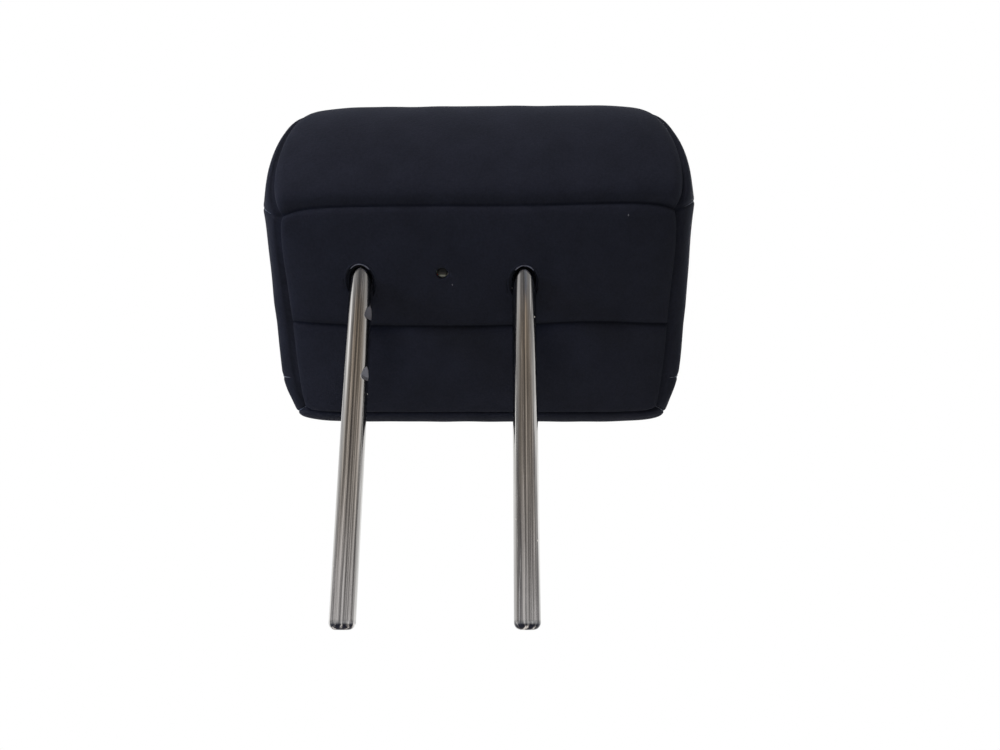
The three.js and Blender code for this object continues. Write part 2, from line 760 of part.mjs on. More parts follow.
// Rear slope panel: has the two post holes and the fill hole
function rearPanelGeometry() {
  const sheet = toSolid(sheetGeometry(seamTrimmed(rearGrid('rear')), clothThickness));
  const hole = sealReach(sealOuter + frameClearance, cutterReach);
  const plugRoom = toSolid(plugGeometry(frameClearance));
  return fromSolid(sheet.subtract(hole(-1)).subtract(hole(1)).subtract(plugRoom));
}

// Finishes
const finishes = {
  chrome: new THREE.MeshStandardMaterial({ color: 0xc9c6c0, roughness: 0.12, metalness: 1 }),
  steel: new THREE.MeshStandardMaterial({ color: 0x8a8c8e, roughness: 0.45, metalness: 0.9 }),
  cloth: new THREE.MeshStandardMaterial({ color: 0x1c2029, roughness: 0.95, metalness: 0 }),
  foam: new THREE.MeshStandardMaterial({ color: 0xcfc3a4, roughness: 1, metalness: 0 }),
  seal: new THREE.MeshStandardMaterial({ color: 0x101114, roughness: 0.6, metalness: 0 }),
  plug: new THREE.MeshStandardMaterial({ color: 0x33343a, roughness: 0.55, metalness: 0 }),
};

function addPiece(name, geometry, finish) {
  const mesh = new THREE.Mesh(geometry, finishes[finish]);
  mesh.name = name;
  parts.add(mesh);
}

function addPanel(name, grid) {
  addPiece(name, sheetGeometry(seamTrimmed(grid), clothThickness), 'cloth');
}

addPiece('post_frame', frameGeometry(), 'chrome');
addPiece('support_plate', plateGeometry(0, true), 'steel');
addPiece('foam_pad', foamGeometry(), 'foam');
addPiece('post_seal_left', sealGeometry(-1), 'seal');
addPiece('post_seal_right', sealGeometry(1), 'seal');
addPiece('fill_plug', plugGeometry(0), 'plug');

addPanel('cover_upper_rear', rearGrid('upper'));
addPiece('cover_rear_slope', rearPanelGeometry(), 'cloth');
addPanel('cover_lower_slope', rearGrid('lower'));
addPanel('cover_front', frontGrid());

const topAcross = topBandGrid();
addPanel('cover_band_top', [
  ...sideBandGrid(-1, ridgeRow, sideCount),
  ...topAcross.slice(1, -1),
  ...sideBandGrid(1, ridgeRow, sideCount),
]);
for (const [side, sign] of [['left', -1], ['right', 1]]) {
  addPanel(`cover_band_side_${side}`, sideBandGrid(sign, cornerRows, ridgeRow));
  addPanel(`cover_band_corner_${side}`, sideBandGrid(sign, 0, cornerRows));
}

export default parts;
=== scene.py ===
import math
import bpy
import numpy as np
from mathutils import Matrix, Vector
from mathutils.bvhtree import BVHTree


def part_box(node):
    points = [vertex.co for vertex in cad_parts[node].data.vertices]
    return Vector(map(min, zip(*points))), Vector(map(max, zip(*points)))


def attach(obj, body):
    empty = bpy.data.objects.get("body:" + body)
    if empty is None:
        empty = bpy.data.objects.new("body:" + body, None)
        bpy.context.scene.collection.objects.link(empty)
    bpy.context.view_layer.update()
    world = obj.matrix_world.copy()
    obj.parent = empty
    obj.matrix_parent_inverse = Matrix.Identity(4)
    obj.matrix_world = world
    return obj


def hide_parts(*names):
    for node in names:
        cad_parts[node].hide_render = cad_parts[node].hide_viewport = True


# Car headrest seen from behind and below: a padded cloth cover over foam on a chromed tube frame.
# Lengths in the shape dictionaries are millimetres; meshes are made in metres, +Z up, +Y to the head.

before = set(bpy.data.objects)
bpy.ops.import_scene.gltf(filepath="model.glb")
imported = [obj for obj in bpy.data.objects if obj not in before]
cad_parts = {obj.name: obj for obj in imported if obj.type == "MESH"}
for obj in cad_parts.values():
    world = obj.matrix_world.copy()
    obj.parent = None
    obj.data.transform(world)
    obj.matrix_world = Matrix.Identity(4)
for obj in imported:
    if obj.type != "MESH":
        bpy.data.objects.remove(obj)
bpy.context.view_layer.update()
print("frame loaded,", len(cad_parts), "nodes")
mm = 0.001


# an sRGB hex value as linear red, green, blue and alpha
def linearColour(hexValue):
    parts = [int(hexValue[i:i + 2], 16) / 255 for i in (1, 3, 5)]
    return [p / 12.92 if p <= 0.04045 else ((p + 0.055) / 1.055) ** 2.4 for p in parts] + [1.0]


# adds a shader node of a kind, or fills in one that is there: a node or a socket among the inputs is linked,
# and any other value is set; stops are a colour ramp's (place, hex colour)
def addNode(tree, kind, inputs=None, stops=(), **settings):
    node = tree.nodes.new("ShaderNode" + kind) if isinstance(kind, str) else kind
    for name, value in settings.items():
        setattr(node, name, value)
    for key, value in (inputs or {}).items():
        if isinstance(value, bpy.types.Node):
            value = next(socket for socket in value.outputs if socket.enabled)
        if isinstance(value, bpy.types.NodeSocket):
            tree.links.new(value, node.inputs[key])
        else:
            node.inputs[key].default_value = value
    if stops:
        elements = node.color_ramp.elements
        for _ in stops[2:]:
            elements.new(0.5)
        for element, (where, hexValue) in zip(elements, stops):
            element.position = where
            element.color = linearColour(hexValue)
    return node


# a material, with its node tree, its Principled shader and the Object coordinates its patterns lie on
def newMaterial(name):
    material = bpy.data.materials.new(name)
    material.use_nodes = True
    tree = material.node_tree
    return material, tree, tree.nodes["Principled BSDF"], addNode(tree, "TexCoord").outputs["Object"]


# a mesh object from points in metres and faces, with its loops' UVs if there are any
def makeObject(name, points, faces, material, uv=None):
    mesh = bpy.data.meshes.new(name)
    mesh.from_pydata(np.asarray(points).tolist(), [], faces if isinstance(faces, list) else faces.tolist())
    mesh.update()
    if uv is not None:
        layer = mesh.uv_layers.new(name="fabric")
        layer.data.foreach_set("uv", np.asarray(uv, np.float32).ravel())
    mesh.shade_smooth()
    mesh.materials.append(material)
    obj = bpy.data.objects.new(name, mesh)
    bpy.context.scene.collection.objects.link(obj)
    return obj


# quads of a grid of rows by columns, which may close on itself either way
def gridQuads(rows, columns, closeRows=False, closeColumns=False):
    r = np.arange(rows if closeRows else rows - 1)[:, None]
    c = np.arange(columns if closeColumns else columns - 1)[None, :]
    up = (r + 1) % rows
    along = (c + 1) % columns
    quads = np.stack([r * columns + c, r * columns + along, up * columns + along, up * columns + c], -1)
    return quads.reshape(-1, 4)


# faces of a tube of rings, with a flat face at each end
def tubeFaces(rings, sides, first=0):
    faces = gridQuads(rings, sides, closeColumns=True).tolist()
    faces += [list(range(sides))[::-1], list(range((rings - 1) * sides, rings * sides))]
    return [[first + corner for corner in face] for face in faces]


# the straight blend from a to b
def lerp(a, b, t):
    return a + (b - a) * t


# vectors over their lengths
def unit(vectors):
    return vectors / np.linalg.norm(vectors, axis=-1, keepdims=True)


# the pad's outer surface, in mm and degrees
pad = {
    "offset": 21.5,  # middle of the pad to the right of the middle of the posts
    "sideHalf": 116.0,  # half width between the side seams
    "bandBulge": 12.0, "topBandBulge": 4.5, "ridgeBulge": 2.0, "ridgeLift": 22.0,
    "upperWiden": 3.0, "ridgeNip": 3.0, "lipTaper": 3.0, "lipFlare": 7.5,
    "panelCrown": 3.2, "upperCrown": 1.5,
    "edgeDrop": 4.5, "ridgeEdgeDrop": 3.0, "lipEdgeEase": 2.0,
    "ridgeEndFall": 6.0, "ridgeRightRise": 4.0,  # the ridge seam's ends fall and its right half rises
    "slopeBowEnd": 3.6, "slopeBow": 3.0, "slopeBowRightEnd": 1.2,  # the seam over the slope bows up it,
    "slopeBowPlace": 0.6, "slopeBowWidth": 0.35,  # most of all here, in half widths from the middle
    "topTilt": 3.0,  # the top stands this much higher at its right end
    "lipCornerRise": 2.8, "lipEndRise": 3.0,  # the lower seam's corners, and the rounded ends of the lip
    "topHalf": 95.0, "cornerHeight": 90.0,
    "entry": 197.5,  # where the posts enter the underside
    "rearSlope": 44.0, "lowerSlope": 51.5,
    "ridgeBehind": 32.4, "slopeSeamAhead": 21.9, "lipSeamAhead": 58.2,
    "topAboveRidge": 87.3, "topSeamAhead": 5.0,
    "roundCentre": 11.0, "roundRise": 25.2, "roundTopShare": 0.989,
    "frontAhead": 90.0, "frontLowRise": 27.0, "frontTopAhead": 78.0, "frontTopDrop": 18.5,
    "frontCrown": 3.0, "lipDrop": 5.8,
}

# seams of the side view as (Y, Z)
slopeRise = math.tan(math.radians(pad["rearSlope"]))
ridge = np.array([-pad["ridgeBehind"], pad["entry"] + pad["ridgeBehind"] * slopeRise])
slopeSeam = np.array([pad["slopeSeamAhead"], pad["entry"] - pad["slopeSeamAhead"] * slopeRise])
lipFall = (pad["lipSeamAhead"] - pad["slopeSeamAhead"]) * math.tan(math.radians(pad["lowerSlope"]))
lipSeam = np.array([pad["lipSeamAhead"], slopeSeam[1] - lipFall])
topSeam = np.array([pad["topSeamAhead"], ridge[1] + pad["topAboveRidge"]])
frontTop = np.array([pad["frontTopAhead"], topSeam[1] - pad["frontTopDrop"]])
frontLow = np.array([pad["frontAhead"], lipSeam[1] + pad["frontLowRise"]])
roundMiddle = np.array([pad["roundCentre"], ridge[1] + pad["roundRise"]])
roundHeight = (topSeam[1] - roundMiddle[1]) / pad["roundTopShare"]
spineLow = np.array([frontLow[0] - 17, lipSeam[1] + 18])
spineHigh = np.array([(topSeam[0] + frontTop[0]) / 2 - 10, topSeam[1] - 43])

upSlope = np.array([-0.7, 0.72])  # unit direction up the slope

# rows up the rear panels, counted as the solid model counts them: (first row, number of rows)
panelRows = {"lower": (0, 6), "rear": (6, 5), "upper": (11, 8)}
rowTotal = 19
ridgeRow = 11
cornerRow = 2
crossSeamRow = 2.45


# cubic curve from a to d, drawn towards b and c
def bezier(a, b, c, d, w):
    return a * (1 - w) ** 3 + 3 * b * w * (1 - w) ** 2 + 3 * c * w ** 2 * (1 - w) + d * w ** 3


# side view of each stretch: straight slopes, an ellipse arc at the upper rear, cubic curves in front
def sideCurve(stretch, w):
    w = np.asarray(w, float)[..., None]
    if stretch == "lower":
        return lerp(lipSeam, slopeSeam, w)
    if stretch == "rear":
        return lerp(slopeSeam, ridge, w)
    if stretch == "upper":
        start = -math.asin(pad["roundRise"] / roundHeight)
        end = math.asin(pad["roundTopShare"])
        depthStart = (roundMiddle[0] - ridge[0]) / math.cos(start)
        depthEnd = (roundMiddle[0] - topSeam[0]) / math.cos(end)
        angle = lerp(start, end, w)
        depth = lerp(depthStart, depthEnd, w)
        ahead = roundMiddle[0] - depth * np.cos(angle)
        return np.concatenate([ahead, roundMiddle[1] + roundHeight * np.sin(angle)], -1)
    if stretch == "lip":
        b = lipSeam + [4.5, -pad["lipDrop"]]
        c = np.array([frontLow[0] - 2.5, lipSeam[1] - pad["lipDrop"] + 1])
        return bezier(lipSeam, b, c, frontLow, w)
    b = np.array([frontLow[0] + pad["frontCrown"], lerp(frontLow[1], frontTop[1], 0.3)])
    c = np.array([frontLow[0] + pad["frontCrown"], lerp(frontLow[1], frontTop[1], 0.72)])
    return bezier(frontLow, b, c, frontTop, w)


# outward normal in the side view, from the chord across a small step
def sideNormal(stretch, w):
    step = 0.001
    along = unit(sideCurve(stretch, np.minimum(1, w + step)) - sideCurve(stretch, np.maximum(0, w - step)))
    side = -1 if stretch in ("lip", "face") else 1
    return np.stack([-along[..., 1] * side, along[..., 0] * side], -1)


# half width between the side seams: straight, then a quarter ellipse up to the straight part of the top
def seamHalfWidth(height, topHeight, sideHalf):
    t = np.clip((height - (topHeight - pad["cornerHeight"])) / pad["cornerHeight"], 0, 1)
    return pad["topHalf"] + (sideHalf - pad["topHalf"]) * np.sqrt(1 - t * t)


# a panel's crown from its lower to its upper seam: a flattened half sine
def crownShape(w):
    return np.sin(np.pi * np.clip(w, 0, 1)) ** 0.7


# nearest points of the inner spine, which is a straight line in the side view
def nearestOnSpine(side):
    along = spineHigh - spineLow
    t = np.clip((side - spineLow) @ along / (along @ along), 0, 1)
    return spineLow + along * t[..., None]


# a side-view point at x across the pad, raised along its normal and dropped towards the inner spine
def placeAcross(base, normal, x, raised, drop):
    back = unit(nearestOnSpine(base) - base)
    side = base + normal * raised[..., None] + back * drop[..., None]
    x = pad["offset"] + x
    return np.stack([x, side[..., 0] + 0 * x, side[..., 1] + 0 * x], -1)


# 1 on the ridge seam, fading quickly up and down the panels beside it
def nearRidgeShare(panel, w):
    return {"lower": 0 * w, "rear": w ** 8, "upper": (1 - w) ** 16}[panel]


# how far the ridge seam lies below its middle, in mm, for u across
def ridgeFall(u):
    left = pad["ridgeEndFall"] * (u ** 4 + u ** 20) / 2
    right = u ** 20 - pad["ridgeRightRise"] * u ** 2 * (1 - u ** 6)
    return np.where(u < 0, left, right)


# how far the seam over the slope bows up it, in mm: a bell right of its middle, and powers at its ends
def slopeBow(u):
    bell = np.exp(-((u - pad["slopeBowPlace"]) / pad["slopeBowWidth"]) ** 2)
    leftEnd = np.where(u < 0, pad["slopeBowEnd"] * u ** 4, 0)
    rightEnd = np.where(u > 0, pad["slopeBowRightEnd"] * u ** 8, 0)
    return leftEnd + pad["slopeBow"] * bell + rightEnd


# how much higher the top stands towards its right end, for u across
def topRise(u):
    return pad["topTilt"] * ((1 + u) / 2) ** 2


# rear panels: u runs -1 to 1 across, w 0 to 1 up the panel; a straight line across between the side seams,
# crowned outwards in the middle, dropped inwards as u to the tenth power, and bent where its seams bow
def rearPoint(panel, u, w):
    u, w = np.broadcast_arrays(np.asarray(u, float), np.asarray(w, float))
    base = sideCurve(panel, w)
    nearLip = 1 - w if panel == "lower" else 0 * w
    nearRidge = nearRidgeShare(panel, w)
    sideHalf = pad["sideHalf"]
    if panel == "upper":
        sideHalf = lerp(sideHalf + pad["upperWiden"], sideHalf, nearRidge)
    crown = pad["upperCrown"] if panel == "upper" else pad["panelCrown"]
    half = seamHalfWidth(base[..., 1], topSeam[1], sideHalf)
    half = half - pad["lipTaper"] * nearLip ** 2 - pad["ridgeNip"] * nearRidge
    drop = (pad["edgeDrop"] + pad["ridgeEdgeDrop"] * nearRidge - pad["lipEdgeEase"] * nearLip ** 2) * u ** 10
    point = placeAcross(base, sideNormal(panel, w), u * half, crown * crownShape(w) * (1 - u ** 8), drop)
    nearSeam = {"lower": 0 * w, "rear": w ** 4, "upper": (1 - w) ** 6}[panel]
    nearSlopeSeam = {"lower": w ** 4, "rear": (1 - w) ** 4, "upper": 0 * w}[panel]
    rise = topRise(u) * w ** 1.5 if panel == "upper" else 0
    point[..., 2] += pad["lipCornerRise"] * u ** 24 * nearLip ** 3 - ridgeFall(u) * nearSeam + rise
    point[..., 1:] += (slopeBow(u) * nearSlopeSeam)[..., None] * upSlope
    return point


# front panel: its lip, then its face, each with w from 0 to 1, made as the rear panels are; the lip's ends
# flare and rise as sines along it
def frontPoint(stretch, u, w):
    u, w = np.broadcast_arrays(np.asarray(u, float), np.asarray(w, float))
    base = sideCurve(stretch, w)
    onLip = stretch == "lip"
    taper = pad["lipTaper"] * (np.ones_like(w) if onLip else (1 - w) ** 4)
    flare = pad["lipFlare"] * np.sin(np.pi * w) if onLip else 0
    half = seamHalfWidth(base[..., 1], frontTop[1], pad["sideHalf"]) - taper + flare
    drop = (pad["edgeDrop"] - (pad["lipEdgeEase"] * (1 - w) if onLip else 0)) * u ** 10
    raised = 0 * w if onLip else pad["panelCrown"] * crownShape(w) * (1 - u ** 8)
    point = placeAcross(base, sideNormal(stretch, w), u * half, raised, drop)
    lipRise = pad["lipCornerRise"] * u ** 24 * (1 - w) ** 3
    lipRise = lipRise + pad["lipEndRise"] * u ** 16 * np.sin(np.pi * w ** 0.8)
    point[..., 2] += lipRise if onLip else topRise(u) * w
    return point


# the band's cross section: nearly flat, rounded into both seams; s runs 0 to 1 forwards
def bandSection(rearEdge, frontEdge, outward, s, rearBulge):
    shape = np.clip(1 - np.abs(2 * s - 1) ** 7, 0, 1) ** 0.65
    bulge = lerp(rearBulge, pad["bandBulge"], s) * shape
    return lerp(rearEdge, frontEdge, s[..., None]) + outward * bulge[..., None]


# side band: rows as in panelRows, s forwards; the lowest rows run over into the lip's side edge
def sideBand(sign, rows, s):
    s = s[None, :]
    parts = []
    for panel, (first, count) in panelRows.items():
        above = rows >= first if first == 0 else rows > first
        row = rows[above & (rows <= first + count)][:, None]
        w = (row - first) / count
        height = sideCurve(panel, w)[..., 1]
        t = np.clip((height - (topSeam[1] - pad["cornerHeight"])) / pad["cornerHeight"], 0, 1)
        cornerWidth = pad["sideHalf"] + pad["upperWiden"] - pad["topHalf"]
        sideways = sign * pad["cornerHeight"] * np.sqrt(1 - t * t)
        outward = unit(np.stack([sideways, 0 * t, cornerWidth * t], -1))
        nearRidge = nearRidgeShare(panel, w)
        widened = pad["upperWiden"] * (1 - nearRidge) if panel == "upper" else 0
        towardsTop = w ** 0.6 if panel == "upper" else 0 * w
        rearBulge = lerp(pad["bandBulge"], pad["topBandBulge"] + pad["upperWiden"], towardsTop) - widened
        rearBulge = rearBulge + (pad["ridgeNip"] + pad["ridgeBulge"]) * nearRidge
        frontEdge = frontPoint("face", sign, row / rowTotal)
        point = bandSection(rearPoint(panel, sign, w), frontEdge, outward, s, rearBulge)
        ridgeShare = np.maximum(0, 1 - np.abs(row - ridgeRow) / 4)
        point[..., 2] += pad["ridgeLift"] * ridgeShare * (1 - (1 - s) ** 7) * (1 - s)
        blend = np.maximum(0, 1 - row / (cornerRow + 1)) ** 2
        lowest = bandSection(rearPoint("lower", sign, 0 * w), frontPoint("face", sign, 0 * w), outward, s,
                             pad["bandBulge"] + 0 * w)
        parts.append(point + (frontPoint("lip", sign, s) - lowest) * blend[..., None])
    return np.concatenate(parts, 0)


# top band: the same section raised along Z
def topBand(u, s):
    u = u[:, None]
    end = 1 + 0 * u
    up = np.array([0, 0, 1.0])
    rearEdge, frontEdge = rearPoint("upper", u, end), frontPoint("face", u, end)
    return bandSection(rearEdge, frontEdge, up, s[None, :], pad["topBandBulge"])


# direction from a surface point to the pad's inner spine
def inward(points):
    near = nearestOnSpine(points[..., 1:])
    x = pad["offset"] + np.clip(points[..., 0] - pad["offset"], -pad["topHalf"], pad["topHalf"])
    return unit(np.stack([x, near[..., 0], near[..., 1]], -1) - points)


# distances in mm along a grid's rows or columns from its first line
def runLength(points, axis):
    steps = np.linalg.norm(np.diff(points, axis=axis), axis=-1)
    zero = np.zeros_like(np.take(steps, [0], axis))
    return np.cumsum(np.concatenate([zero, steps], axis), axis)


# distances from a grid's four edges: first row, last row, first column, last column
def edgeDistances(points):
    down = runLength(points, 0)
    across = runLength(points, 1)
    return down, down[-1:] - down, across, across[:, -1:] - across


# the seams and the cloth's swelling beside them, in mm
seam = {
    "depth": 2.2,  # how far a seam lies below the panels beside it
    "roll": 3.8,  # width over which a panel's edge turns in
    "crease": 0.35,  # extra depth in the last millimetre
    "creaseWidth": 0.9,
    "ridgeDepth": 2.6,  # the ridge seam away from its ends
    "ridgeRoll": 8.0,  # the upper panel turns in over this width above it
    "ridgeSwell": 2.6,  # and stands out above that
    "ridgeSwellWidth": 9.0,
    "lowerSwell": 1.1,  # the lower panel beside the seam across the slope
    "lowerSwellWidth": 6.0,
    "rearSwell": 0.6,  # and the panel above it, at its upper edge
    "lipDepth": 1.6,
    "mitreDepth": 0.8,  # seam between the lip's ends and the band
    "cornerReach": 6.0,  # shallow seams reach full depth at their corners over this width
    "edgeSwell": 0.7,  # rolled edges beside the side seams
    "edgeSwellWidth": 5.5,
    "crossDepth": 0.9,  # seams across the band
    "crossRoll": 3.0,
}


# a panel edge that turns in on a quarter circle, and a narrow crease at its end
def rolledEdge(distance, depth=seam["depth"], roll=seam["roll"]):
    t = np.clip(distance / roll, 0, 1)
    turned = 1 - np.sqrt(1 - (1 - t) ** 2)
    return depth * turned + seam["crease"] * np.exp(-(distance / seam["creaseWidth"]) ** 2)


# rises from nothing on the seam to 1 at the given distance, then fades
def swell(distance, width):
    t = distance / width
    return (t * np.exp(1 - t)) ** 2


# the cover's eight grids of points for a fineness, and the rows they stand on, closer together near the seams
def coverGrids(fineness):
    counts = {"across": 24, "lower": 6, "rear": 8, "upper": 10, "band": 12}  # steps at fineness 1
    counts = {name: count * fineness for name, count in counts.items()}

    def closeUp(count, degrees):
        k = np.linspace(-1, 1, count + 1)
        return np.sin(k * math.radians(degrees)) / math.sin(math.radians(degrees))

    u = closeUp(counts["across"], 76)
    s = closeUp(counts["band"], 76) / 2 + 0.5
    shares = {panel: closeUp(counts[panel], 62) / 2 + 0.5 for panel in panelRows}
    rows = np.concatenate([
        first + count * (shares[panel] if first == 0 else shares[panel][1:])
        for panel, (first, count) in panelRows.items()
    ])
    grids = {panel: rearPoint(panel, u[None, :], shares[panel][:, None]) for panel in panelRows}
    grids["lip"] = frontPoint("lip", u[None, :], s[:, None])
    grids["face"] = frontPoint("face", u[None, :], rows[:, None] / rowTotal)
    grids["left"] = sideBand(-1, rows, s)
    grids["right"] = sideBand(1, rows, s)
    grids["top"] = topBand(u, s)
    return grids, rows


# moves the grids in at their seams and out beside them
def sewnGrids(fineness):
    grids, rows = coverGrids(fineness)
    sewn = {}
    uvs = {}
    for name, points in grids.items():
        low, high, first, last = edgeDistances(points)
        sides = np.minimum(first, last)
        atLow, atHigh, atSides = [np.exp(-(away / seam["cornerReach"]) ** 2) for away in (low, high, sides)]
        atMitreEnd = np.maximum(atLow, atHigh) if name == "lip" else atSides
        mitre = lerp(seam["mitreDepth"], seam["depth"], atMitreEnd)
        seams = [rolledEdge(sides, mitre if name == "lip" else seam["depth"])]
        out = seam["edgeSwell"] * swell(sides, seam["edgeSwellWidth"])
        awayFromSides = 1 - np.exp(-(sides / 4) ** 2)
        if name in ("lip", "lower"):
            seams.append(rolledEdge(low, lerp(seam["lipDepth"], seam["depth"], atSides)))
        if name in ("left", "right"):
            seams.append(rolledEdge(low, mitre))
            out = out * (1 - np.exp(-(low / 4) ** 2))
            for row in (crossSeamRow, ridgeRow):
                along = np.apply_along_axis(lambda line: np.interp(row, rows, line), 0, low)
                seams.append(rolledEdge(np.abs(low - along), seam["crossDepth"], seam["crossRoll"]))
        ridgeDepth = lerp(seam["ridgeDepth"], seam["depth"], atSides)
        if name == "rear":
            seams.append(rolledEdge(low))
            seams.append(rolledEdge(high, ridgeDepth))
        if name == "upper":
            seams.append(rolledEdge(low, ridgeDepth, seam["ridgeRoll"]))
        if name in ("lower", "upper", "face"):
            seams.append(rolledEdge(high))
        if name == "upper":
            out = out + seam["ridgeSwell"] * swell(low, seam["ridgeSwellWidth"]) * awayFromSides
        if name == "lower":
            out = out + seam["lowerSwell"] * swell(high, seam["lowerSwellWidth"]) * awayFromSides
        if name == "rear":
            out = out + seam["rearSwell"] * swell(high, seam["lowerSwellWidth"]) * awayFromSides
        seamEnds = {"lip": low, "face": high, **{panel: np.minimum(low, high) for panel in panelRows}}
        if name in seamEnds:
            out = out * (1 - np.exp(-(seamEnds[name] / 2) ** 2))
        depth = np.max(seams, axis=0)
        sewn[name] = points + inward(points) * (depth - out)[..., None]
        middle = (points.shape[1] - 1) // 2
        uvs[name] = np.stack([first - first[:, middle:middle + 1], low], -1) * mm
    return sewn, uvs


# grids whose rows and columns run the other way round
flipped = ("lip", "face", "left", "top")


# joins grids into one closed mesh: points that fall together become one; returns where each grid point went
def joinGrids(grids):
    points = []
    quads = []
    base = 0
    for name, grid in grids.items():
        quad = gridQuads(grid.shape[0], grid.shape[1]) + base
        quads.append(quad[:, ::-1] if name in flipped else quad)
        points.append(grid.reshape(-1, 3))
        base += grid.shape[0] * grid.shape[1]
    points = np.concatenate(points)
    _, firsts, where = np.unique(np.round(points, 3), axis=0, return_index=True, return_inverse=True)
    return points[firsts], where.ravel()[np.concatenate(quads)], where.ravel()


cloth = {
    "dark": "#1a1d27", "pale": "#1e212c", "sheenTint": "#7e879c", "lint": "#8e9098",
    "loopSpacing": 1.3,  # mm
    "lintSpots": [(5.8, -0.4, 193.5), (106.7, -28.5, 224.5)],  # two specks that the photograph shows, in mm
    "lintRadius": 0.36, "lintShare": 0.4,
}


# Knitted polyester on a foam backing, blue-black: a matt face with a soft grazing sheen and a fine, even loop
# grain. The real loops are about 0.4 mm; they are drawn 1.3 mm apart so that they show.
def knittedCloth():
    material, tree, shader, place = newMaterial("knitted polyester on foam")
    uv = addNode(tree, "UVMap", uv_map="fabric")
    loops = addNode(tree, "TexVoronoi", {"Vector": uv, "Scale": 1000 / cloth["loopSpacing"],
                                         "Randomness": 0.75})
    mottle = addNode(tree, "TexNoise", {"Vector": place, "Scale": 55.0, "Detail": 4.0})
    fuzz = addNode(tree, "TexNoise", {"Vector": place, "Scale": 900.0, "Detail": 3.0})
    yarn = addNode(tree, "ValToRGB", {"Fac": mottle}, stops=[(0.3, cloth["dark"]), (0.7, cloth["pale"])])
    shade = addNode(tree, "MapRange", {"Value": loops, "To Min": 1.12, "To Max": 0.8})
    grain = addNode(tree, "Mix", {0: 1.0, 6: yarn, 7: shade}, data_type="RGBA", blend_type="MULTIPLY")
    # lint: a few pale specks half a millimetre across
    specks = addNode(tree, "TexVoronoi", {"Vector": place, "Scale": 70.0})
    small = addNode(tree, "Math", {0: specks, 1: 0.022}, operation="LESS_THAN")
    pick = addNode(tree, "SeparateColor", {"Color": specks.outputs["Color"]})
    few = addNode(tree, "Math", {0: pick, 1: 0.93}, operation="GREATER_THAN")
    lint = addNode(tree, "Math", {0: small, 1: few}, operation="MULTIPLY")
    # and those of the photograph, drawn out through the cover's thickness
    for spot in cloth["lintSpots"]:
        away = addNode(tree, "VectorMath", {0: place, 1: [v * mm for v in spot]}, operation="SUBTRACT")
        away = addNode(tree, "VectorMath", {0: away, 1: (1, 0.2, 0.7)}, operation="MULTIPLY")
        away = addNode(tree, "VectorMath", {0: away}, operation="LENGTH")
        near = addNode(tree, "Math", {0: away, 1: cloth["lintRadius"] * mm}, operation="LESS_THAN")
        lint = addNode(tree, "Math", {0: lint, 1: near}, operation="MAXIMUM")
    share = addNode(tree, "Math", {0: lint, 1: cloth["lintShare"]}, operation="MULTIPLY")
    colour = addNode(tree, "Mix", {0: share, 6: grain, 7: linearColour(cloth["lint"])}, data_type="RGBA")
    height = addNode(tree, "Math", {0: loops, 1: fuzz}, operation="SUBTRACT")
    bump = addNode(tree, "Bump", {"Height": height, "Strength": 0.35, "Distance": 0.00025})
    addNode(tree, shader, {
        "Base Color": colour, "Normal": bump, "Roughness": 0.92, "Specular IOR Level": 0.2,
        "Sheen Weight": 0.06, "Sheen Roughness": 0.45, "Sheen Tint": linearColour(cloth["sheenTint"]),
    })
    return material


chrome = {
    "streaks": [(0.34, "#7a7979"), (0.46, "#b0aeac"), (0.56, "#c0bebb"), (0.66, "#f0eeec")],
    "hairline": "#f6f5f4", "dust": "#f2f0ec", "milled": "#aeafb9", "darkTipReflection": "#2a2c36",
    "milledShare": 0.42,  # how dull the notches' faces are
    "tubeRadius": 7.0, "notchesAbove": 120.0,  # mm
    "tipDark": 2.6, "tipClear": 5.2,  # the lower ends are dark up to the first height, clear from the second
}


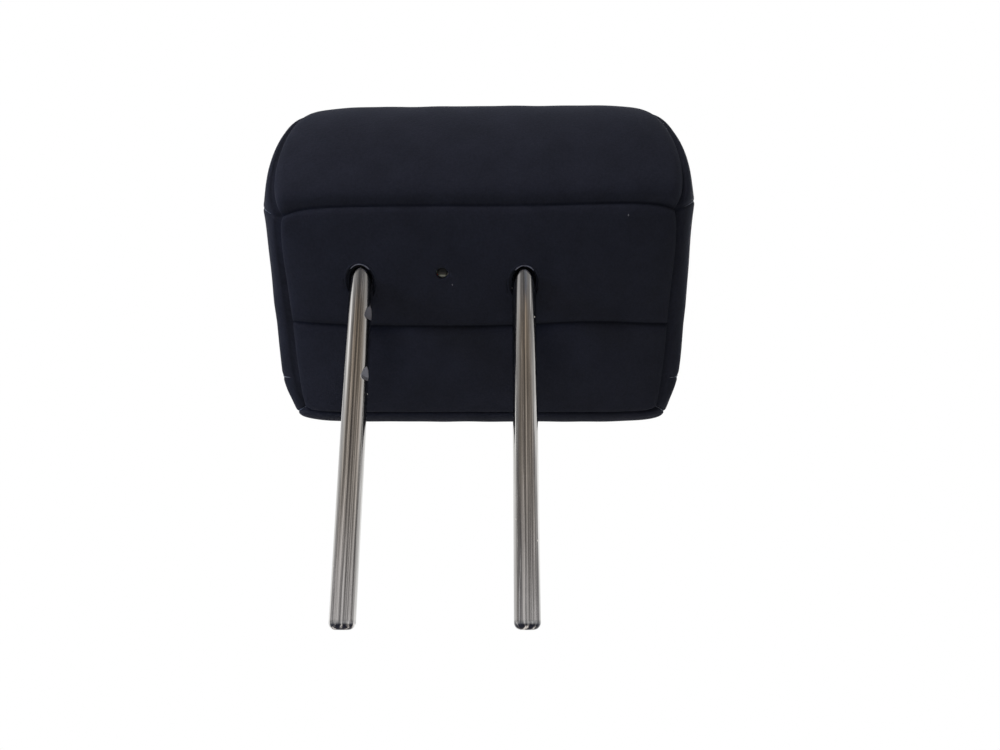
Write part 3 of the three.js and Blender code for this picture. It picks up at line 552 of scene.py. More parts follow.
# Decorative chrome on drawn steel tube: a mirror with faint streaks along the tube from drawing and from use,
# hairline scratches and pale dust specks
def chromedTube():
    material, tree, shader, place = newMaterial("chrome on drawn steel tube")
    along = addNode(tree, "Mapping", {"Vector": place, "Scale": (420.0, 420.0, 7.0)})
    fine = addNode(tree, "Mapping", {"Vector": place, "Scale": (1500.0, 1500.0, 24.0)})
    streaks = addNode(tree, "TexNoise", {"Vector": along, "Scale": 1.0, "Detail": 5.0})
    hairlines = addNode(tree, "TexNoise", {"Vector": fine, "Scale": 1.0, "Detail": 3.0})
    colour = addNode(tree, "ValToRGB", {"Fac": streaks}, stops=chrome["streaks"])
    # hairline scratches along the tube that catch the light
    glint = addNode(tree, "MapRange", {"Value": hairlines, "From Min": 0.6, "From Max": 0.7, "To Max": 0.7})
    pale = linearColour(chrome["hairline"])
    colour = addNode(tree, "Mix", {0: glint, 6: colour, 7: pale}, data_type="RGBA")
    dust = addNode(tree, "TexVoronoi", {"Vector": place, "Scale": 260.0})
    small = addNode(tree, "Math", {0: dust, 1: 0.13}, operation="LESS_THAN")
    pick = addNode(tree, "SeparateColor", {"Color": dust.outputs["Color"]})
    few = addNode(tree, "Math", {0: pick.outputs["Green"], 1: 0.93}, operation="GREATER_THAN")
    speck = addNode(tree, "Math", {0: small, 1: few}, operation="MULTIPLY")
    colour = addNode(tree, "Mix", {0: speck, 6: colour, 7: linearColour(chrome["dust"])}, data_type="RGBA")
    rough = addNode(tree, "MapRange", {"Value": streaks, "From Min": 0.3, "From Max": 0.7,
                                       "To Min": 0.2, "To Max": 0.07})
    # the milled faces of the notches lie inside the left tube's round: a duller, paler grey
    fromAxis = addNode(tree, "VectorMath", {0: place, 1: (postHalf * mm, 0, 0)}, operation="ADD")
    level = addNode(tree, "VectorMath", {0: fromAxis, 1: (1, 1, 0)}, operation="MULTIPLY")
    radius = addNode(tree, "VectorMath", {0: level}, operation="LENGTH")
    inside = addNode(tree, "MapRange", {"Value": radius, "From Min": (chrome["tubeRadius"] - 0.03) * mm,
                                        "From Max": (chrome["tubeRadius"] - 0.1) * mm})
    height = addNode(tree, "SeparateXYZ", {"Vector": place}).outputs["Z"]
    above = addNode(tree, "Math", {0: height, 1: chrome["notchesAbove"] * mm}, operation="GREATER_THAN")
    milled = addNode(tree, "Math", {0: inside, 1: above}, operation="MULTIPLY")
    dull = addNode(tree, "Math", {0: milled, 1: chrome["milledShare"]}, operation="MULTIPLY")
    rough = addNode(tree, "Math", {0: speck, 1: rough}, operation="MAXIMUM")
    rough = addNode(tree, "Math", {0: rough, 1: dull}, operation="MAXIMUM")
    plated = addNode(tree, "Math", {0: 1.0, 1: dull}, operation="SUBTRACT")
    colour = addNode(tree, "Mix", {0: milled, 6: colour, 7: linearColour(chrome["milled"])}, data_type="RGBA")
    # the rounded lower ends are painted dark, unevenly: a painted reflection of dark surroundings
    atTip = addNode(tree, "MapRange", {"Value": height, "From Min": chrome["tipClear"] * mm,
                                       "From Max": chrome["tipDark"] * mm})
    patchy = addNode(tree, "MapRange", {"Value": streaks, "From Min": 0.62, "From Max": 0.5})
    # painted reflection: the tips' colour is mixed towards a dark blue-grey
    dark = addNode(tree, "Math", {0: atTip, 1: patchy}, operation="MULTIPLY")
    colour = addNode(tree, "Mix", {0: dark, 6: colour, 7: linearColour(chrome["darkTipReflection"])}, data_type="RGBA")
    bump = addNode(tree, "Bump", {"Height": hairlines, "Strength": 0.12, "Distance": 0.0001})
    addNode(tree, shader, {"Base Color": colour, "Metallic": plated, "Roughness": rough, "Normal": bump})
    return material


# Cold-rolled steel sheet, bare: a grey metal with brushed rolling lines and a few dull patches
def sheetSteel():
    material, tree, shader, place = newMaterial("cold-rolled steel sheet")
    lines = addNode(tree, "Mapping", {"Vector": place, "Scale": (25.0, 900.0, 900.0)})
    rolled = addNode(tree, "TexNoise", {"Vector": lines, "Scale": 1.0, "Detail": 4.0})
    colour = addNode(tree, "ValToRGB", {"Fac": rolled}, stops=[(0.3, "#7c7d80"), (0.7, "#a2a3a5")])
    rough = addNode(tree, "MapRange", {"Value": rolled, "To Min": 0.3, "To Max": 0.5})
    addNode(tree, shader, {"Base Color": colour, "Metallic": 1.0, "Roughness": rough})
    return material


# Moulded polyurethane foam: pale yellow, matt, with an open skin of bubbles drawn 1.5 mm across
def mouldedFoam():
    material, tree, shader, place = newMaterial("moulded polyurethane foam")
    cells = addNode(tree, "TexVoronoi", {"Vector": place, "Scale": 1000 / 1.5})
    patches = addNode(tree, "TexNoise", {"Vector": place, "Scale": 30.0, "Detail": 3.0})
    colour = addNode(tree, "ValToRGB", {"Fac": patches}, stops=[(0.3, "#c9bb93"), (0.7, "#d9cda9")])
    bump = addNode(tree, "Bump", {"Height": cells, "Strength": 0.6, "Distance": 0.0005})
    addNode(tree, shader, {"Base Color": colour, "Normal": bump, "Roughness": 0.95,
                           "Subsurface Weight": 0.1, "Subsurface Scale": 0.002})
    return material


# Soft EPDM rubber, moulded: near black and dull, with a faint bloom; its lower side is painted a paler
# blue-grey, painted light that lets the shaded gap beside the post read as cloth in shade
def sealRubber():
    material, tree, shader, place = newMaterial("EPDM rubber")
    bloom = addNode(tree, "TexNoise", {"Vector": place, "Scale": 240.0, "Detail": 4.0})
    colour = addNode(tree, "ValToRGB", {"Fac": bloom}, stops=[(0.35, "#040405"), (0.75, "#07070a")])
    height = addNode(tree, "SeparateXYZ", {"Vector": place}).outputs["Z"]
    # painted light: below the hole's upper edge the rubber turns a paler blue-grey
    low = addNode(tree, "MapRange", {"Value": height, "From Min": 0.203, "From Max": 0.195})
    paintedPaleLowSide = addNode(tree, "Mix", {0: low, 6: colour, 7: linearColour("#20232e")}, data_type="RGBA")
    rough = addNode(tree, "MapRange", {"Value": bloom, "To Min": 0.75, "To Max": 0.9})
    addNode(tree, shader, {"Base Color": paintedPaleLowSide, "Roughness": rough, "Specular IOR Level": 0.12})
    return material


# Natural polyethylene plug, moulded: grimy olive grey, with painted shade darkening its face above the lower
# rim and a painted highlight along that rim
def plugPlastic():
    material, tree, shader, place = newMaterial("natural polyethylene")
    grime = addNode(tree, "TexNoise", {"Vector": place, "Scale": 420.0, "Detail": 4.0})
    colour = addNode(tree, "ValToRGB", {"Fac": grime}, stops=[(0.35, "#35362f"), (0.65, "#4b4b44")])
    height = addNode(tree, "SeparateXYZ", {"Vector": place}).outputs["Z"]
    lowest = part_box("fill_plug")[0][2]
    # painted shade: above its lowest couple of millimetres the plug is mixed towards near black, the shadow
    # of its recess
    upper = addNode(tree, "MapRange", {"Value": height, "From Min": lowest + 0.0011,
                                       "From Max": lowest + 0.0024})
    colour = addNode(tree, "Mix", {0: upper, 6: colour, 7: linearColour("#0c0d10")}, data_type="RGBA")
    # painted highlight: a pale band along the lower rim, its lit edge
    rim = addNode(tree, "MapRange", {"Value": height, "From Min": lowest + 0.0010,
                                     "From Max": lowest + 0.0006})
    colour = addNode(tree, "Mix", {0: rim, 6: colour, 7: linearColour("#b4b6a8")}, data_type="RGBA")
    rough = addNode(tree, "MapRange", {"Value": grime, "To Min": 0.6, "To Max": 0.85})
    addNode(tree, shader, {"Base Color": colour, "Roughness": rough, "Specular IOR Level": 0.25})
    return material


# Bonded polyester sewing thread, grey against the cloth, with its twist drawn 1.6 mm long
def sewingThread():
    material, tree, shader, place = newMaterial("bonded polyester thread")
    twist = addNode(tree, "TexNoise", {"Vector": place, "Scale": 1000 / 1.6, "Detail": 2.0})
    colour = addNode(tree, "ValToRGB", {"Fac": twist}, stops=[(0.35, "#3b414d"), (0.65, "#767e8d")])
    addNode(tree, shader, {"Base Color": colour, "Roughness": 0.7})
    return material


# The seal's bead, drawn pale blue-grey and fairly smooth: a painted highlight along the upper side of each
# post hole
def beadHighlight():
    material, tree, shader, place = newMaterial("EPDM rubber bead, painted highlight")
    bloom = addNode(tree, "TexNoise", {"Vector": place, "Scale": 300.0, "Detail": 3.0})
    # painted highlight: pale blue-grey where the rubber itself is near black
    colour = addNode(tree, "ValToRGB", {"Fac": bloom}, stops=[(0.3, "#5d6070"), (0.7, "#8f93a3")])
    addNode(tree, shader, {"Base Color": colour, "Roughness": 0.4})
    return material


postHalf = 48.0  # half the distance between the posts' axes
clothMaterial = knittedCloth()
beadHighlightMaterial = beadHighlight()
chromeMaterial = chromedTube()
threadMaterial = sewingThread()
print("materials made")

# how the panels are blown out against their seams, and the cover's unevenness
padding = {
    "startIn": 1.6,  # the panels start this many mm inside their final place and swell out
    "cap": 3.2,  # a point moves this many mm at most
    "pressure": 4.0,
    "stiffness": 25, "shear": 12, "bending": 6,
    "seamReach": 9.0,  # width in mm over which a seam holds the cloth in
    "foamHold": 0.12,  # how firmly the moulded foam holds the panels
    "frames": 20,
    "coarse": 2, "fine": 6,  # fineness of the trial and of the finished cover
    "waves": 0.22,  # height in mm of the slow unevenness of the cloth
    "waveCount": 14, "waveLengths": (22, 70), "seed": 7,
}


# smooth random field: a sum of plane sine waves in random directions
def slowUnevenness(points):
    random = np.random.default_rng(padding["seed"])
    count = padding["waveCount"]
    directions = unit(random.normal(size=(count, 3)))
    lengths = random.uniform(*padding["waveLengths"], count)
    phases = random.uniform(0, 2 * np.pi, count)
    waves = np.sin(points @ (directions * (2 * np.pi / lengths)[:, None]).T + phases)
    return waves.sum(-1) / math.sqrt(count)


# weights that take values on coarse grid lines to fine ones along a Catmull-Rom curve
def refineWeights(coarseCount, ratio):
    t = np.arange(coarseCount * ratio + 1) / ratio
    start = np.minimum(t.astype(int), coarseCount - 1)
    f = t - start
    shares = [(-f + 2 * f ** 2 - f ** 3) / 2, (2 - 5 * f ** 2 + 3 * f ** 3) / 2,
              (f + 4 * f ** 2 - 3 * f ** 3) / 2, (f ** 3 - f ** 2) / 2]
    weights = np.zeros((len(t), coarseCount + 1))
    for step, share in zip((-1, 0, 1, 2), shares):
        np.add.at(weights, (np.arange(len(t)), np.clip(start + step, 0, coarseCount)), share)
    return weights


# blows the sewn panels out against their seams, and returns how each coarse grid point moved, in mm
def puffPanels():
    grids, _ = sewnGrids(padding["coarse"])
    moved = {}
    shares = {}
    held = []
    for name, grid in grids.items():
        low, high, first, last = edgeDistances(grid)
        nearest = np.minimum(first, last)
        if name in ("lower", "rear", "upper"):
            nearest = np.minimum(nearest, np.minimum(low, high))
        if name in ("lip", "left", "right"):
            nearest = np.minimum(nearest, low)
        if name == "face":
            nearest = np.minimum(nearest, high)
        shares[name] = 1 - np.exp(-(nearest / padding["seamReach"]) ** 2)
        moved[name] = grid + inward(grid) * (padding["startIn"] * shares[name])[..., None]
        held.append((nearest < 0.01).ravel())
    points, quads, where = joinGrids(moved)
    seams = np.zeros(len(points), bool)
    np.logical_or.at(seams, where, np.concatenate(held))
    obj = makeObject("paddingTrial", points * mm, quads, clothMaterial)
    group = obj.vertex_groups.new(name="held")
    group.add(np.flatnonzero(~seams).tolist(), padding["foamHold"], "REPLACE")
    group.add(np.flatnonzero(seams).tolist(), 1.0, "REPLACE")
    cloth = obj.modifiers.new("padding", "CLOTH")
    settings = cloth.settings
    settings.quality = 6
    settings.mass = 0.3
    settings.tension_stiffness = padding["stiffness"]
    settings.compression_stiffness = padding["stiffness"]
    settings.shear_stiffness = padding["shear"]
    settings.bending_stiffness = padding["bending"]
    settings.use_pressure = True
    settings.uniform_pressure_force = padding["pressure"]
    settings.vertex_group_mass = "held"
    settings.pin_stiffness = 1.0
    settings.effector_weights.gravity = 0
    cloth.collision_settings.use_collision = False
    cloth.point_cache.frame_start = 1
    cloth.point_cache.frame_end = padding["frames"]
    for frameNumber in range(1, padding["frames"] + 1):
        bpy.context.scene.frame_set(frameNumber)
    puffed = obj.evaluated_get(bpy.context.evaluated_depsgraph_get()).data
    result = np.empty(len(points) * 3)
    puffed.vertices.foreach_get("co", result)
    shift = result.reshape(-1, 3) / mm - points
    length = np.linalg.norm(shift, axis=1, keepdims=True)
    print("padding moved the cover by", np.round([length.mean(), length.max()], 2), "mm on average, at most")
    shift = shift * np.minimum(1, padding["cap"] / np.maximum(length, 1e-9))
    bpy.context.scene.frame_set(1)
    bpy.data.objects.remove(obj)
    start = 0
    shifts = {}
    for name, grid in grids.items():
        count = grid.shape[0] * grid.shape[1]
        fromSeams = moved[name] - grid + shift[where[start:start + count]].reshape(grid.shape)
        inwards = (fromSeams * inward(grid)).sum(-1)
        fromSeams -= inward(grid) * (shares[name] * inwards.mean() / shares[name].mean())[..., None]
        shifts[name] = fromSeams
        start += count
    return shifts


# the finished cover: fine panels, moved inwards or outwards as the trial moved, with the slow unevenness
def paddedCover():
    grids, uvs = sewnGrids(padding["fine"])
    ratio = padding["fine"] // padding["coarse"]
    for name, shift in puffPanels().items():
        rowWeights = refineWeights(shift.shape[0] - 1, ratio)
        columnWeights = refineWeights(shift.shape[1] - 1, ratio)
        grids[name] = grids[name] + np.einsum("ir,rck,jc->ijk", rowWeights, shift, columnWeights)
    grids = {name: grid - inward(grid) * (padding["waves"] * slowUnevenness(grid))[..., None]
             for name, grid in grids.items()}
    points, quads, where = joinGrids(grids)
    corners = []
    base = 0
    for name, grid in grids.items():
        quad = gridQuads(grid.shape[0], grid.shape[1])
        corners.append(uvs[name].reshape(-1, 2)[quad[:, ::-1] if name in flipped else quad])
    cover = makeObject("paddedCover", points * mm, quads, clothMaterial, np.concatenate(corners))
    return cover, grids


cover, coverPanels = paddedCover()
print("cover made,", len(cover.data.polygons), "quads")
surface = BVHTree.FromObject(cover, bpy.context.evaluated_depsgraph_get())

# the holes in the cover, in mm
hole = {
    "postRadius": 8.6, "plugRadius": 3.4,  # clear width of the holes in the cover
    "roll": 0.9, "proud": 0.05,  # the cloth's turned edge, and how far it stands out
    "wall": 0.9, "reach": 2.2, "plugReach": 3.0,  # thickness of the turned cloth, and how far it goes in
    "postBehind": 1.0,  # the post holes' middles sit this far behind the posts' axes,
    "plugBehind": 3.8,  # and the plug's hole this far
    "beadRadius": 0.32, "beadDepth": -0.6, "beadSpread": 40.0,  # degrees to either side of the hole's top
    "around": 96, "beadSides": 12,
}


# a thin tube with tapered ends: circles carried along a line of points, in mm
def tubeAlong(line, radius, sides, facing):
    along = unit(np.gradient(line, axis=0))
    side = unit(np.cross(along, facing))
    other = np.cross(side, along)
    angles = np.linspace(0, 2 * np.pi, sides, endpoint=False)[None, :, None]
    ends = np.minimum(np.arange(len(line)), np.arange(len(line))[::-1])
    radii = np.maximum(radius * np.sqrt(np.clip(ends / 6, 0, 1)), 0.02)
    rim = side[:, None] * np.cos(angles) + other[:, None] * np.sin(angles)
    return line[:, None] + rim * radii[:, None, None]


# the cloth turned into a hole: a rounded section carried round the hole's axis, following the cover's surface
def turnedEdge(name, centre, axis, radius, reach):
    axis = Vector(axis).normalized()
    side = Vector((1, 0, 0))
    other = axis.cross(side)
    angles = np.linspace(0, 2 * np.pi, hole["around"], endpoint=False)
    middle = radius + hole["roll"]
    heights = []
    for angle in angles:
        spot = Vector(centre) + (side * math.cos(angle) + other * math.sin(angle)) * middle
        hit = surface.ray_cast((spot - axis * 40) * mm, axis)[0]
        heights.append((hit / mm - Vector(centre)).dot(axis))
    turn = np.radians(np.linspace(20, -180, 22))
    centreHeight = hole["roll"] - hole["proud"]
    section = np.stack([middle + hole["roll"] * np.cos(turn), centreHeight + hole["roll"] * np.sin(turn)], -1)
    inner = [[radius, reach], [radius + hole["wall"], reach], [radius + hole["wall"], centreHeight + 1]]
    section = np.concatenate([section, inner])
    outwards = np.outer(np.cos(angles), side) + np.outer(np.sin(angles), other)
    along = np.array(heights)[:, None, None] + section[None, :, 1:]
    points = np.array(centre) + outwards[:, None, :] * section[None, :, :1] + np.array(axis) * along
    quads = gridQuads(len(angles), len(section), True, True)
    length = np.concatenate([[0], np.cumsum(np.linalg.norm(np.diff(section, axis=0), axis=1))])
    aroundHole = np.append(angles, 2 * np.pi)[:, None] * middle
    length = np.append(length, length[-1])[None, :]
    uv = np.stack(np.broadcast_arrays(aroundHole, length), -1).reshape(-1, 2) * mm
    corners = uv[gridQuads(len(angles) + 1, len(section) + 1)]
    return makeObject(name, points.reshape(-1, 3) * mm, quads, clothMaterial, corners)


# the seal's bead, which carries a painted highlight: a level arc inside the upper side of a post hole, just
# under the cloth's edge
def sealBead(name, x):
    angles = np.radians(np.linspace(-hole["beadSpread"], hole["beadSpread"], 49)) - np.pi / 2
    radius = hole["postRadius"]
    line = []
    for angle in angles:
        across, ahead = math.cos(angle), math.sin(angle)
        beyond = radius + 1.5
        below = Vector((x + beyond * across, beyond * ahead - hole["postBehind"], 0))
        hit = surface.ray_cast(below * mm, Vector((0, 0, 1)))[0]
        height = hit.z / mm + hole["beadDepth"]
        line.append([x + radius * across, radius * ahead - hole["postBehind"], height])
    line = np.array(line)
    bead = tubeAlong(line, hole["beadRadius"], hole["beadSides"], inward(line))
    return makeObject(name, bead.reshape(-1, 3) * mm, tubeFaces(len(line), hole["beadSides"]), beadHighlightMaterial)


# cuts a round hole through the cover's skin, under its turned edge
def cutHole(target, centre, axis, radius, depth):
    bpy.ops.mesh.primitive_cylinder_add(vertices=hole["around"], radius=radius * mm, depth=depth * mm)
    cutter = bpy.context.object
    turn = Vector((0, 0, 1)).rotation_difference(Vector(axis).normalized()).to_matrix().to_4x4()
    turn.translation = Vector(centre) * mm
    cutter.data.transform(turn)
    cut = target.modifiers.new("hole", "BOOLEAN")
    cut.operation = "DIFFERENCE"
    cut.solver = "EXACT"
    cut.object = cutter
    bpy.context.view_layer.objects.active = target
    bpy.ops.object.modifier_apply(modifier=cut.name)
    bpy.data.objects.remove(cutter)


slopeAngle = math.radians(pad["rearSlope"])
slopeAxis = (0, math.sin(slopeAngle), math.cos(slopeAngle))
plugPlace = (0, -hole["plugBehind"], pad["entry"] + hole["plugBehind"] * slopeRise)
postPlaces = [(side * postHalf, -hole["postBehind"], pad["entry"]) for side in (-1, 1)]
holes = [
    ("turnedEdgeLeft", postPlaces[0], (0, 0, 1), hole["postRadius"], hole["reach"]),
    ("turnedEdgeRight", postPlaces[1], (0, 0, 1), hole["postRadius"], hole["reach"]),
    ("turnedEdgePlug", plugPlace, slopeAxis, hole["plugRadius"], hole["plugReach"]),
]
turnedEdges = [turnedEdge(*values) for values in holes]
sealBeads = [sealBead("sealBeadLeft", -postHalf), sealBead("sealBeadRight", postHalf)]
for name, centre, axis, radius, reach in holes:
    cutHole(cover, centre, axis, radius + hole["roll"], 2 * (reach + 9))
print("holes cut")


thread = {
    "diameter": 0.5, "proud": 0.1, "sides": 8,  # mm
    "from": 0.03, "to": 0.62, "mitreTo": 0.4,  # shares of the band's width where thread shows
}


# sewing thread: thin tubes along the band's cross seams and along the mitres at the lip's ends
def crossSeamThreads():
    _, rows = coverGrids(padding["fine"])
    lines = []
    for name in ("left", "right"):
        grid = coverPanels[name]
        count = grid.shape[1] - 1
        for row in (crossSeamRow, ridgeRow):
            line = np.apply_along_axis(lambda values: np.interp(row, rows, values), 0, grid)
            lines.append(line[int(thread["from"] * count) + 1:int(thread["to"] * count)])
        lines.append(grid[0, 1:int(thread["mitreTo"] * grid.shape[1])])
    points = []
    faces = []
    for line in lines:
        line = line - inward(line) * thread["proud"]
        tube = tubeAlong(line, thread["diameter"] / 2, thread["sides"], inward(line))
        faces += tubeFaces(len(line), thread["sides"], sum(map(len, points)))
        points.append(tube.reshape(-1, 3))
    return makeObject("seamThreads", np.concatenate(points) * mm, faces, threadMaterial)


seamThreads = crossSeamThreads()


# the bent tube that makes both posts, in mm and degrees
post = {
    "spacing": 96.0, "diameter": 14.0,
    "kneeHeight": pad["entry"] + 30, "kneeRadius": 45.0, "shoulderRadius": 25.0,
    "barBelowTop": 42.0, "barAhead": 30.0,
    "tipRounding": 3.8, "mouthRadius": 2.2, "boreRadius": 4.5, "boreDepth": 9,
    # a notch is a ramp that deepens downwards and ends in a short shelf
    "notchDepth": 1.05, "notchRamp": 5.8, "notchShelf": 2.5, "notchTurn": 26.0,
    "notchBelowEntry": 24.0, "notchPitch": 36.8,
    "sides": 112,
}


# left half of the tube as rows of (place, lean, turn into the bar, radius), from the middle of its bore: up
# the straight post, round the forward bend, along the lean and round the shoulder into the bar
def frameRows():
    half = post["spacing"] / 2
    r = post["diameter"] / 2
    barHeight = topSeam[1] - post["barBelowTop"]
    lean = math.atan2(post["barAhead"], barHeight - post["kneeHeight"])
    leanLength = math.hypot(post["barAhead"], barHeight - post["kneeHeight"])
    rounding = np.radians(np.linspace(0, 90, 12))
    depth, bore, mouth = post["boreDepth"], post["boreRadius"], post["mouthRadius"]
    tipRounding = post["tipRounding"]
    tip = [(depth, 0.01), (depth, bore), (5, bore), (2, mouth), (0.3, mouth), (0.08, mouth + 0.1),
           (0, mouth + 0.35), (0, r - tipRounding - 0.3)]
    tip += list(zip(tipRounding * (1 - np.cos(rounding)), r - tipRounding * (1 - np.sin(rounding))))
    upperNotch = pad["entry"] - post["notchBelowEntry"]
    nearNotch = np.linspace(-5.2, 5.2, 41)
    kneeStart = post["kneeHeight"] - post["kneeRadius"] * math.tan(lean / 2)
    straight = np.concatenate([np.linspace(tipRounding + 1, kneeStart, 60), upperNotch + nearNotch,
                               upperNotch - post["notchPitch"] + nearNotch])
    heights = np.concatenate([[h for h, _ in tip], np.sort(straight)])
    radii = np.concatenate([[radius for _, radius in tip], np.full(len(straight), r)])
    zero = np.zeros_like(heights)
    posts = np.stack([zero - half, zero, heights, zero, zero, radii], -1)
    knee = np.linspace(0, lean, 13)[1:]
    kr = post["kneeRadius"]
    flat = 0 * knee
    bend = np.stack([flat - half, kr * (1 - np.cos(knee)), kneeStart + kr * np.sin(knee),
                     knee, flat, flat + r], -1)
    shoulder = np.linspace(0, np.pi / 2, 13)
    sr = post["shoulderRadius"]
    reach = leanLength - sr + sr * np.sin(shoulder)
    flat = 0 * shoulder
    into = np.stack([sr * (1 - np.cos(shoulder)) - half, reach * math.sin(lean),
                     post["kneeHeight"] + reach * math.cos(lean), flat + lean, shoulder, flat + r], -1)
    middle = np.array([[0, post["barAhead"], barHeight, lean, np.pi / 2, r]])
    return np.concatenate([posts, bend, into, middle])


# circles carried along the rows; the right half mirrors the left, and the left has its notches
def tubeFrame():
    rows = frameRows()
    place, lean, turn, radius = rows[:, :3], rows[:, 3], rows[:, 4], rows[:, 5]
    zero = 0 * lean
    up = np.stack([zero, np.sin(lean), np.cos(lean)], -1)
    ahead = np.stack([zero, np.cos(lean), -np.sin(lean)], -1)
    along = up * np.cos(turn)[:, None] + np.array([1.0, 0, 0]) * np.sin(turn)[:, None]
    side = np.cross(ahead, along)
    angles = np.linspace(0, 2 * np.pi, post["sides"], endpoint=False)[None, :, None]
    rim = side[:, None] * np.cos(angles) + ahead[:, None] * np.sin(angles)
    left = place[:, None] + rim * radius[:, None, None]
    right = (left * [-1, 1, 1])[::-1][1:]
    # each notch: where the surface lies beyond the ramp or the shelf it is moved back to it
    cutAngle = math.radians(post["notchTurn"])
    cutDirection = np.array([math.cos(cutAngle), -math.sin(cutAngle), 0])
    upperNotch = pad["entry"] - post["notchBelowEntry"]
    for deepest in (upperNotch, upperNotch - post["notchPitch"]):
        rise = left[..., 2] - deepest
        outAlong = (left - [-post["spacing"] / 2, 0, 0]) @ cutDirection
        upRamp = np.clip(1 - rise / post["notchRamp"], 0, 1)
        downShelf = np.sqrt(np.clip(1 - (rise / post["notchShelf"]) ** 2, 0, 1))
        deep = np.where(rise > 0, upRamp, downShelf)
        beyond = np.maximum(outAlong - post["diameter"] / 2 + post["notchDepth"] * deep, 0)
        left = left - np.where(deep > 0, beyond, 0)[..., None] * cutDirection
    grid = np.concatenate([left, right])
    faces = tubeFaces(len(grid), post["sides"])
    return makeObject("tubeFrame", grid.reshape(-1, 3) * mm, faces, chromeMaterial)


tube = tubeFrame()
print("frame made,", len(tube.data.polygons), "faces")

# the solid model's own pieces that stay as they are
for node, material, slotName in [
    ("support_plate", sheetSteel(), "plate_steel"),
    ("foam_pad", mouldedFoam(), "foam"),
    ("post_seal_left", sealRubber(), "seal_rubber"),
    ("post_seal_right", sealRubber(), "seal_rubber"),
    ("fill_plug", plugPlastic(), "plug_plastic"),
]:
    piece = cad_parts[node]
    piece.data.materials.clear()
    piece.data.materials.append(material)

coverNodes = [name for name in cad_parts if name.startswith("cover_")]
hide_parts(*coverNodes)
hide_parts("post_frame")
for piece in [cover, seamThreads, tube, *turnedEdges, *sealBeads]:
    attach(piece, "root")

studio = {
    "floorHeight": -0.26, "floorSize": 14.0, "floorColour": "#e9e8e6",
    "floorFade": (0.3, 1.0),  # the floor is seen as white from the second distance
    "fillColour": "#eef1f6", "fill": 0.07,
    # what metal shows of the room behind the camera, by height: pale and neutral low down, a darker tan above
    "room": [(0.0, "#d2d0d2"), (0.14, "#a9a39e"), (0.383, "#887a6a"), (0.394, "#3f444f")],
    "aim": (0.02, 0.03, 0.24),
    # name, place, size in m, power in W, colour, spread in degrees, and whether metal shows it
    "lamps": [
        ("keySoftbox", (-0.7, -1.4, 1.45), 0.9, 4.9, "#fff1e2", 60, False),
        ("leftWindow", (-1.3, -0.5, 0.3), 0.2, 10, "#dfe7ff", 180, False),
        ("frontSoftbox", (0.7, 1.4, 1.1), 0.9, 3.6, "#ffffff", 80, True),
        ("sideSoftbox", (1.4, 0.6, 0.55), 0.8, 7, "#ffffff", 180, False),
    ],
}


# the rays that show the background: the camera's, and those from gloss and glass
def backdropRays(tree):
    paths = addNode(tree, "LightPath")
    seen = addNode(tree, "Math", {0: paths.outputs["Is Camera Ray"], 1: paths.outputs["Is Glossy Ray"]},
                   operation="MAXIMUM")
    seen = addNode(tree, "Math", {0: seen, 1: paths.outputs["Is Transmission Ray"]}, operation="MAXIMUM")
    return paths, seen


# Matt white studio board: the floor, which fades to plain white away from the object
bpy.ops.mesh.primitive_plane_add(size=studio["floorSize"], location=(0, 0, studio["floorHeight"]))
floor = bpy.context.object
floor.name = "floor"
floorMaterial, tree, shader, place = newMaterial("matt white studio board")
addNode(tree, shader, {"Base Color": linearColour(studio["floorColour"]), "Roughness": 0.9,
                       "Specular IOR Level": 0.1})
distance = addNode(tree, "VectorMath", {0: place}, operation="LENGTH")
far = addNode(tree, "MapRange", {"Value": distance, "From Min": studio["floorFade"][0],
                                 "From Max": studio["floorFade"][1]}, interpolation_type="SMOOTHSTEP")
_, seen = backdropRays(tree)
farSeen = addNode(tree, "Math", {0: far, 1: seen}, operation="MULTIPLY")
white = addNode(tree, "Emission", {"Color": linearColour("#ffffff"), "Strength": 1.0})
mixed = addNode(tree, "MixShader", {0: farSeen, 1: shader, 2: white})
addNode(tree, tree.nodes["Material Output"], {"Surface": mixed})
floor.data.materials.append(floorMaterial)

world = bpy.data.worlds.new("studio")
bpy.context.scene.world = world
world.use_nodes = True
tree = world.node_tree
direction = addNode(tree, "TexCoord").outputs["Generated"]
split = addNode(tree, "SeparateXYZ", {"Vector": direction})
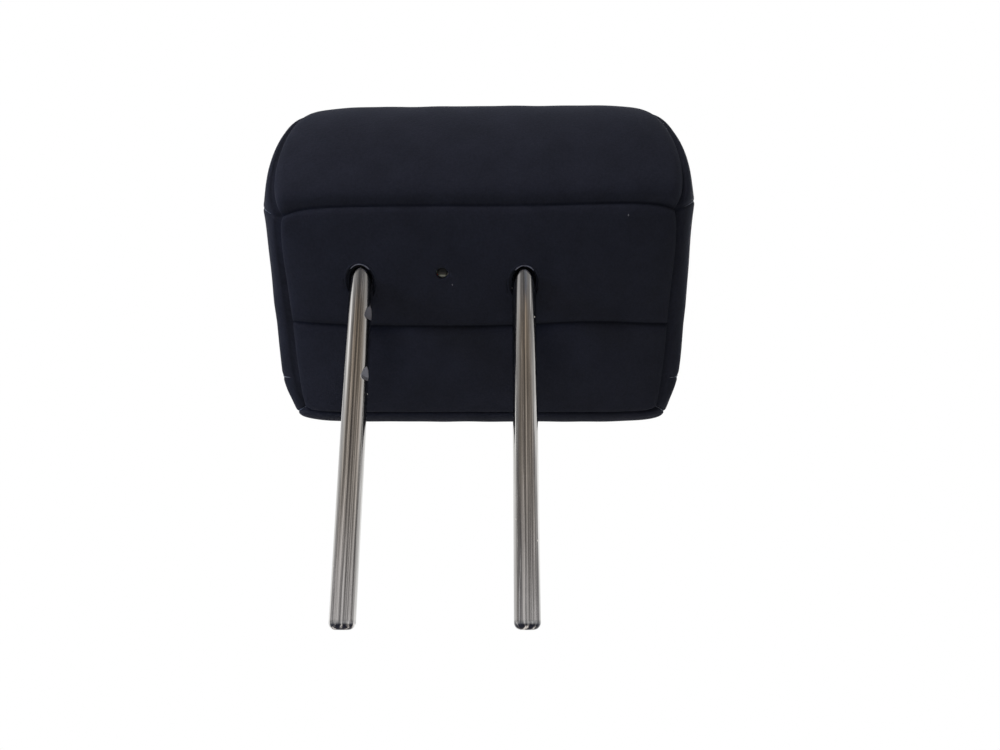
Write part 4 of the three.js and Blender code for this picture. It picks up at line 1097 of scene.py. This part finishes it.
# low down the room reaches round the sides, higher up only what lies behind the camera belongs to it
reach = addNode(tree, "Math", {0: split.outputs["Z"], 1: 2.5, 2: -0.5}, operation="MULTIPLY_ADD")
reached = addNode(tree, "Math", {0: split.outputs["Y"], 1: reach}, operation="ADD")
behind = addNode(tree, "MapRange", {"Value": reached, "From Min": 0.5, "From Max": -0.5},
                 interpolation_type="SMOOTHSTEP")
paths, seen = backdropRays(tree)
inMetal = addNode(tree, "Math", {0: behind, 1: paths.outputs["Is Glossy Ray"]}, operation="MULTIPLY")
room = addNode(tree, "ValToRGB", {"Fac": split.outputs["Z"]}, stops=studio["room"])
# upright things in the room, as uneven upright bands
upright = addNode(tree, "Mapping", {"Vector": direction, "Scale": (8.0, 8.0, 0.9)})
bands = addNode(tree, "TexNoise", {"Vector": upright, "Scale": 1.0, "Detail": 3.0})
shades = addNode(tree, "MapRange", {"Value": bands, "From Min": 0.42, "From Max": 0.6,
                                    "To Min": 0.45, "To Max": 1.6})
furnished = addNode(tree, "Mix", {0: 1.0, 6: room, 7: shades}, data_type="RGBA", blend_type="MULTIPLY")
shown = addNode(tree, "Mix", {0: inMetal, 6: linearColour("#ffffff"), 7: furnished}, data_type="RGBA")
fill = addNode(tree, "Background", {"Color": linearColour(studio["fillColour"]), "Strength": studio["fill"]})
backdrop = addNode(tree, "Background", {"Color": shown, "Strength": 1.0})
mixed = addNode(tree, "MixShader", {0: seen, 1: fill, 2: backdrop})
addNode(tree, tree.nodes["World Output"], {"Surface": mixed})

for name, place, size, power, colour, spread, inGloss in studio["lamps"]:
    data = bpy.data.lights.new(name, "AREA")
    data.shape = "SQUARE"
    data.size = size
    data.energy = power
    data.color = linearColour(colour)[:3]
    data.spread = math.radians(spread)
    lamp = bpy.data.objects.new(name, data)
    lamp.location = place
    lamp.rotation_euler = (Vector(studio["aim"]) - Vector(place)).to_track_quat("-Z", "Y").to_euler()
    lamp.visible_glossy = inGloss
    bpy.context.scene.collection.objects.link(lamp)
print("stage made")

camera = bpy.data.objects.new("camera", bpy.data.cameras.new("camera"))
camera.data.lens = 28.8
camera.data.sensor_width = 36
camera.data.clip_start = 0.01
camera.location = (0.0338, -0.4345, 0.0021)
camera.rotation_euler = (math.radians(90 + 17.4), 0, 0)  # looks up by 17.4 degrees
bpy.context.scene.collection.objects.link(camera)
bpy.context.scene.camera = camera
bpy.context.scene.view_settings.view_transform = "Standard"

print("done")
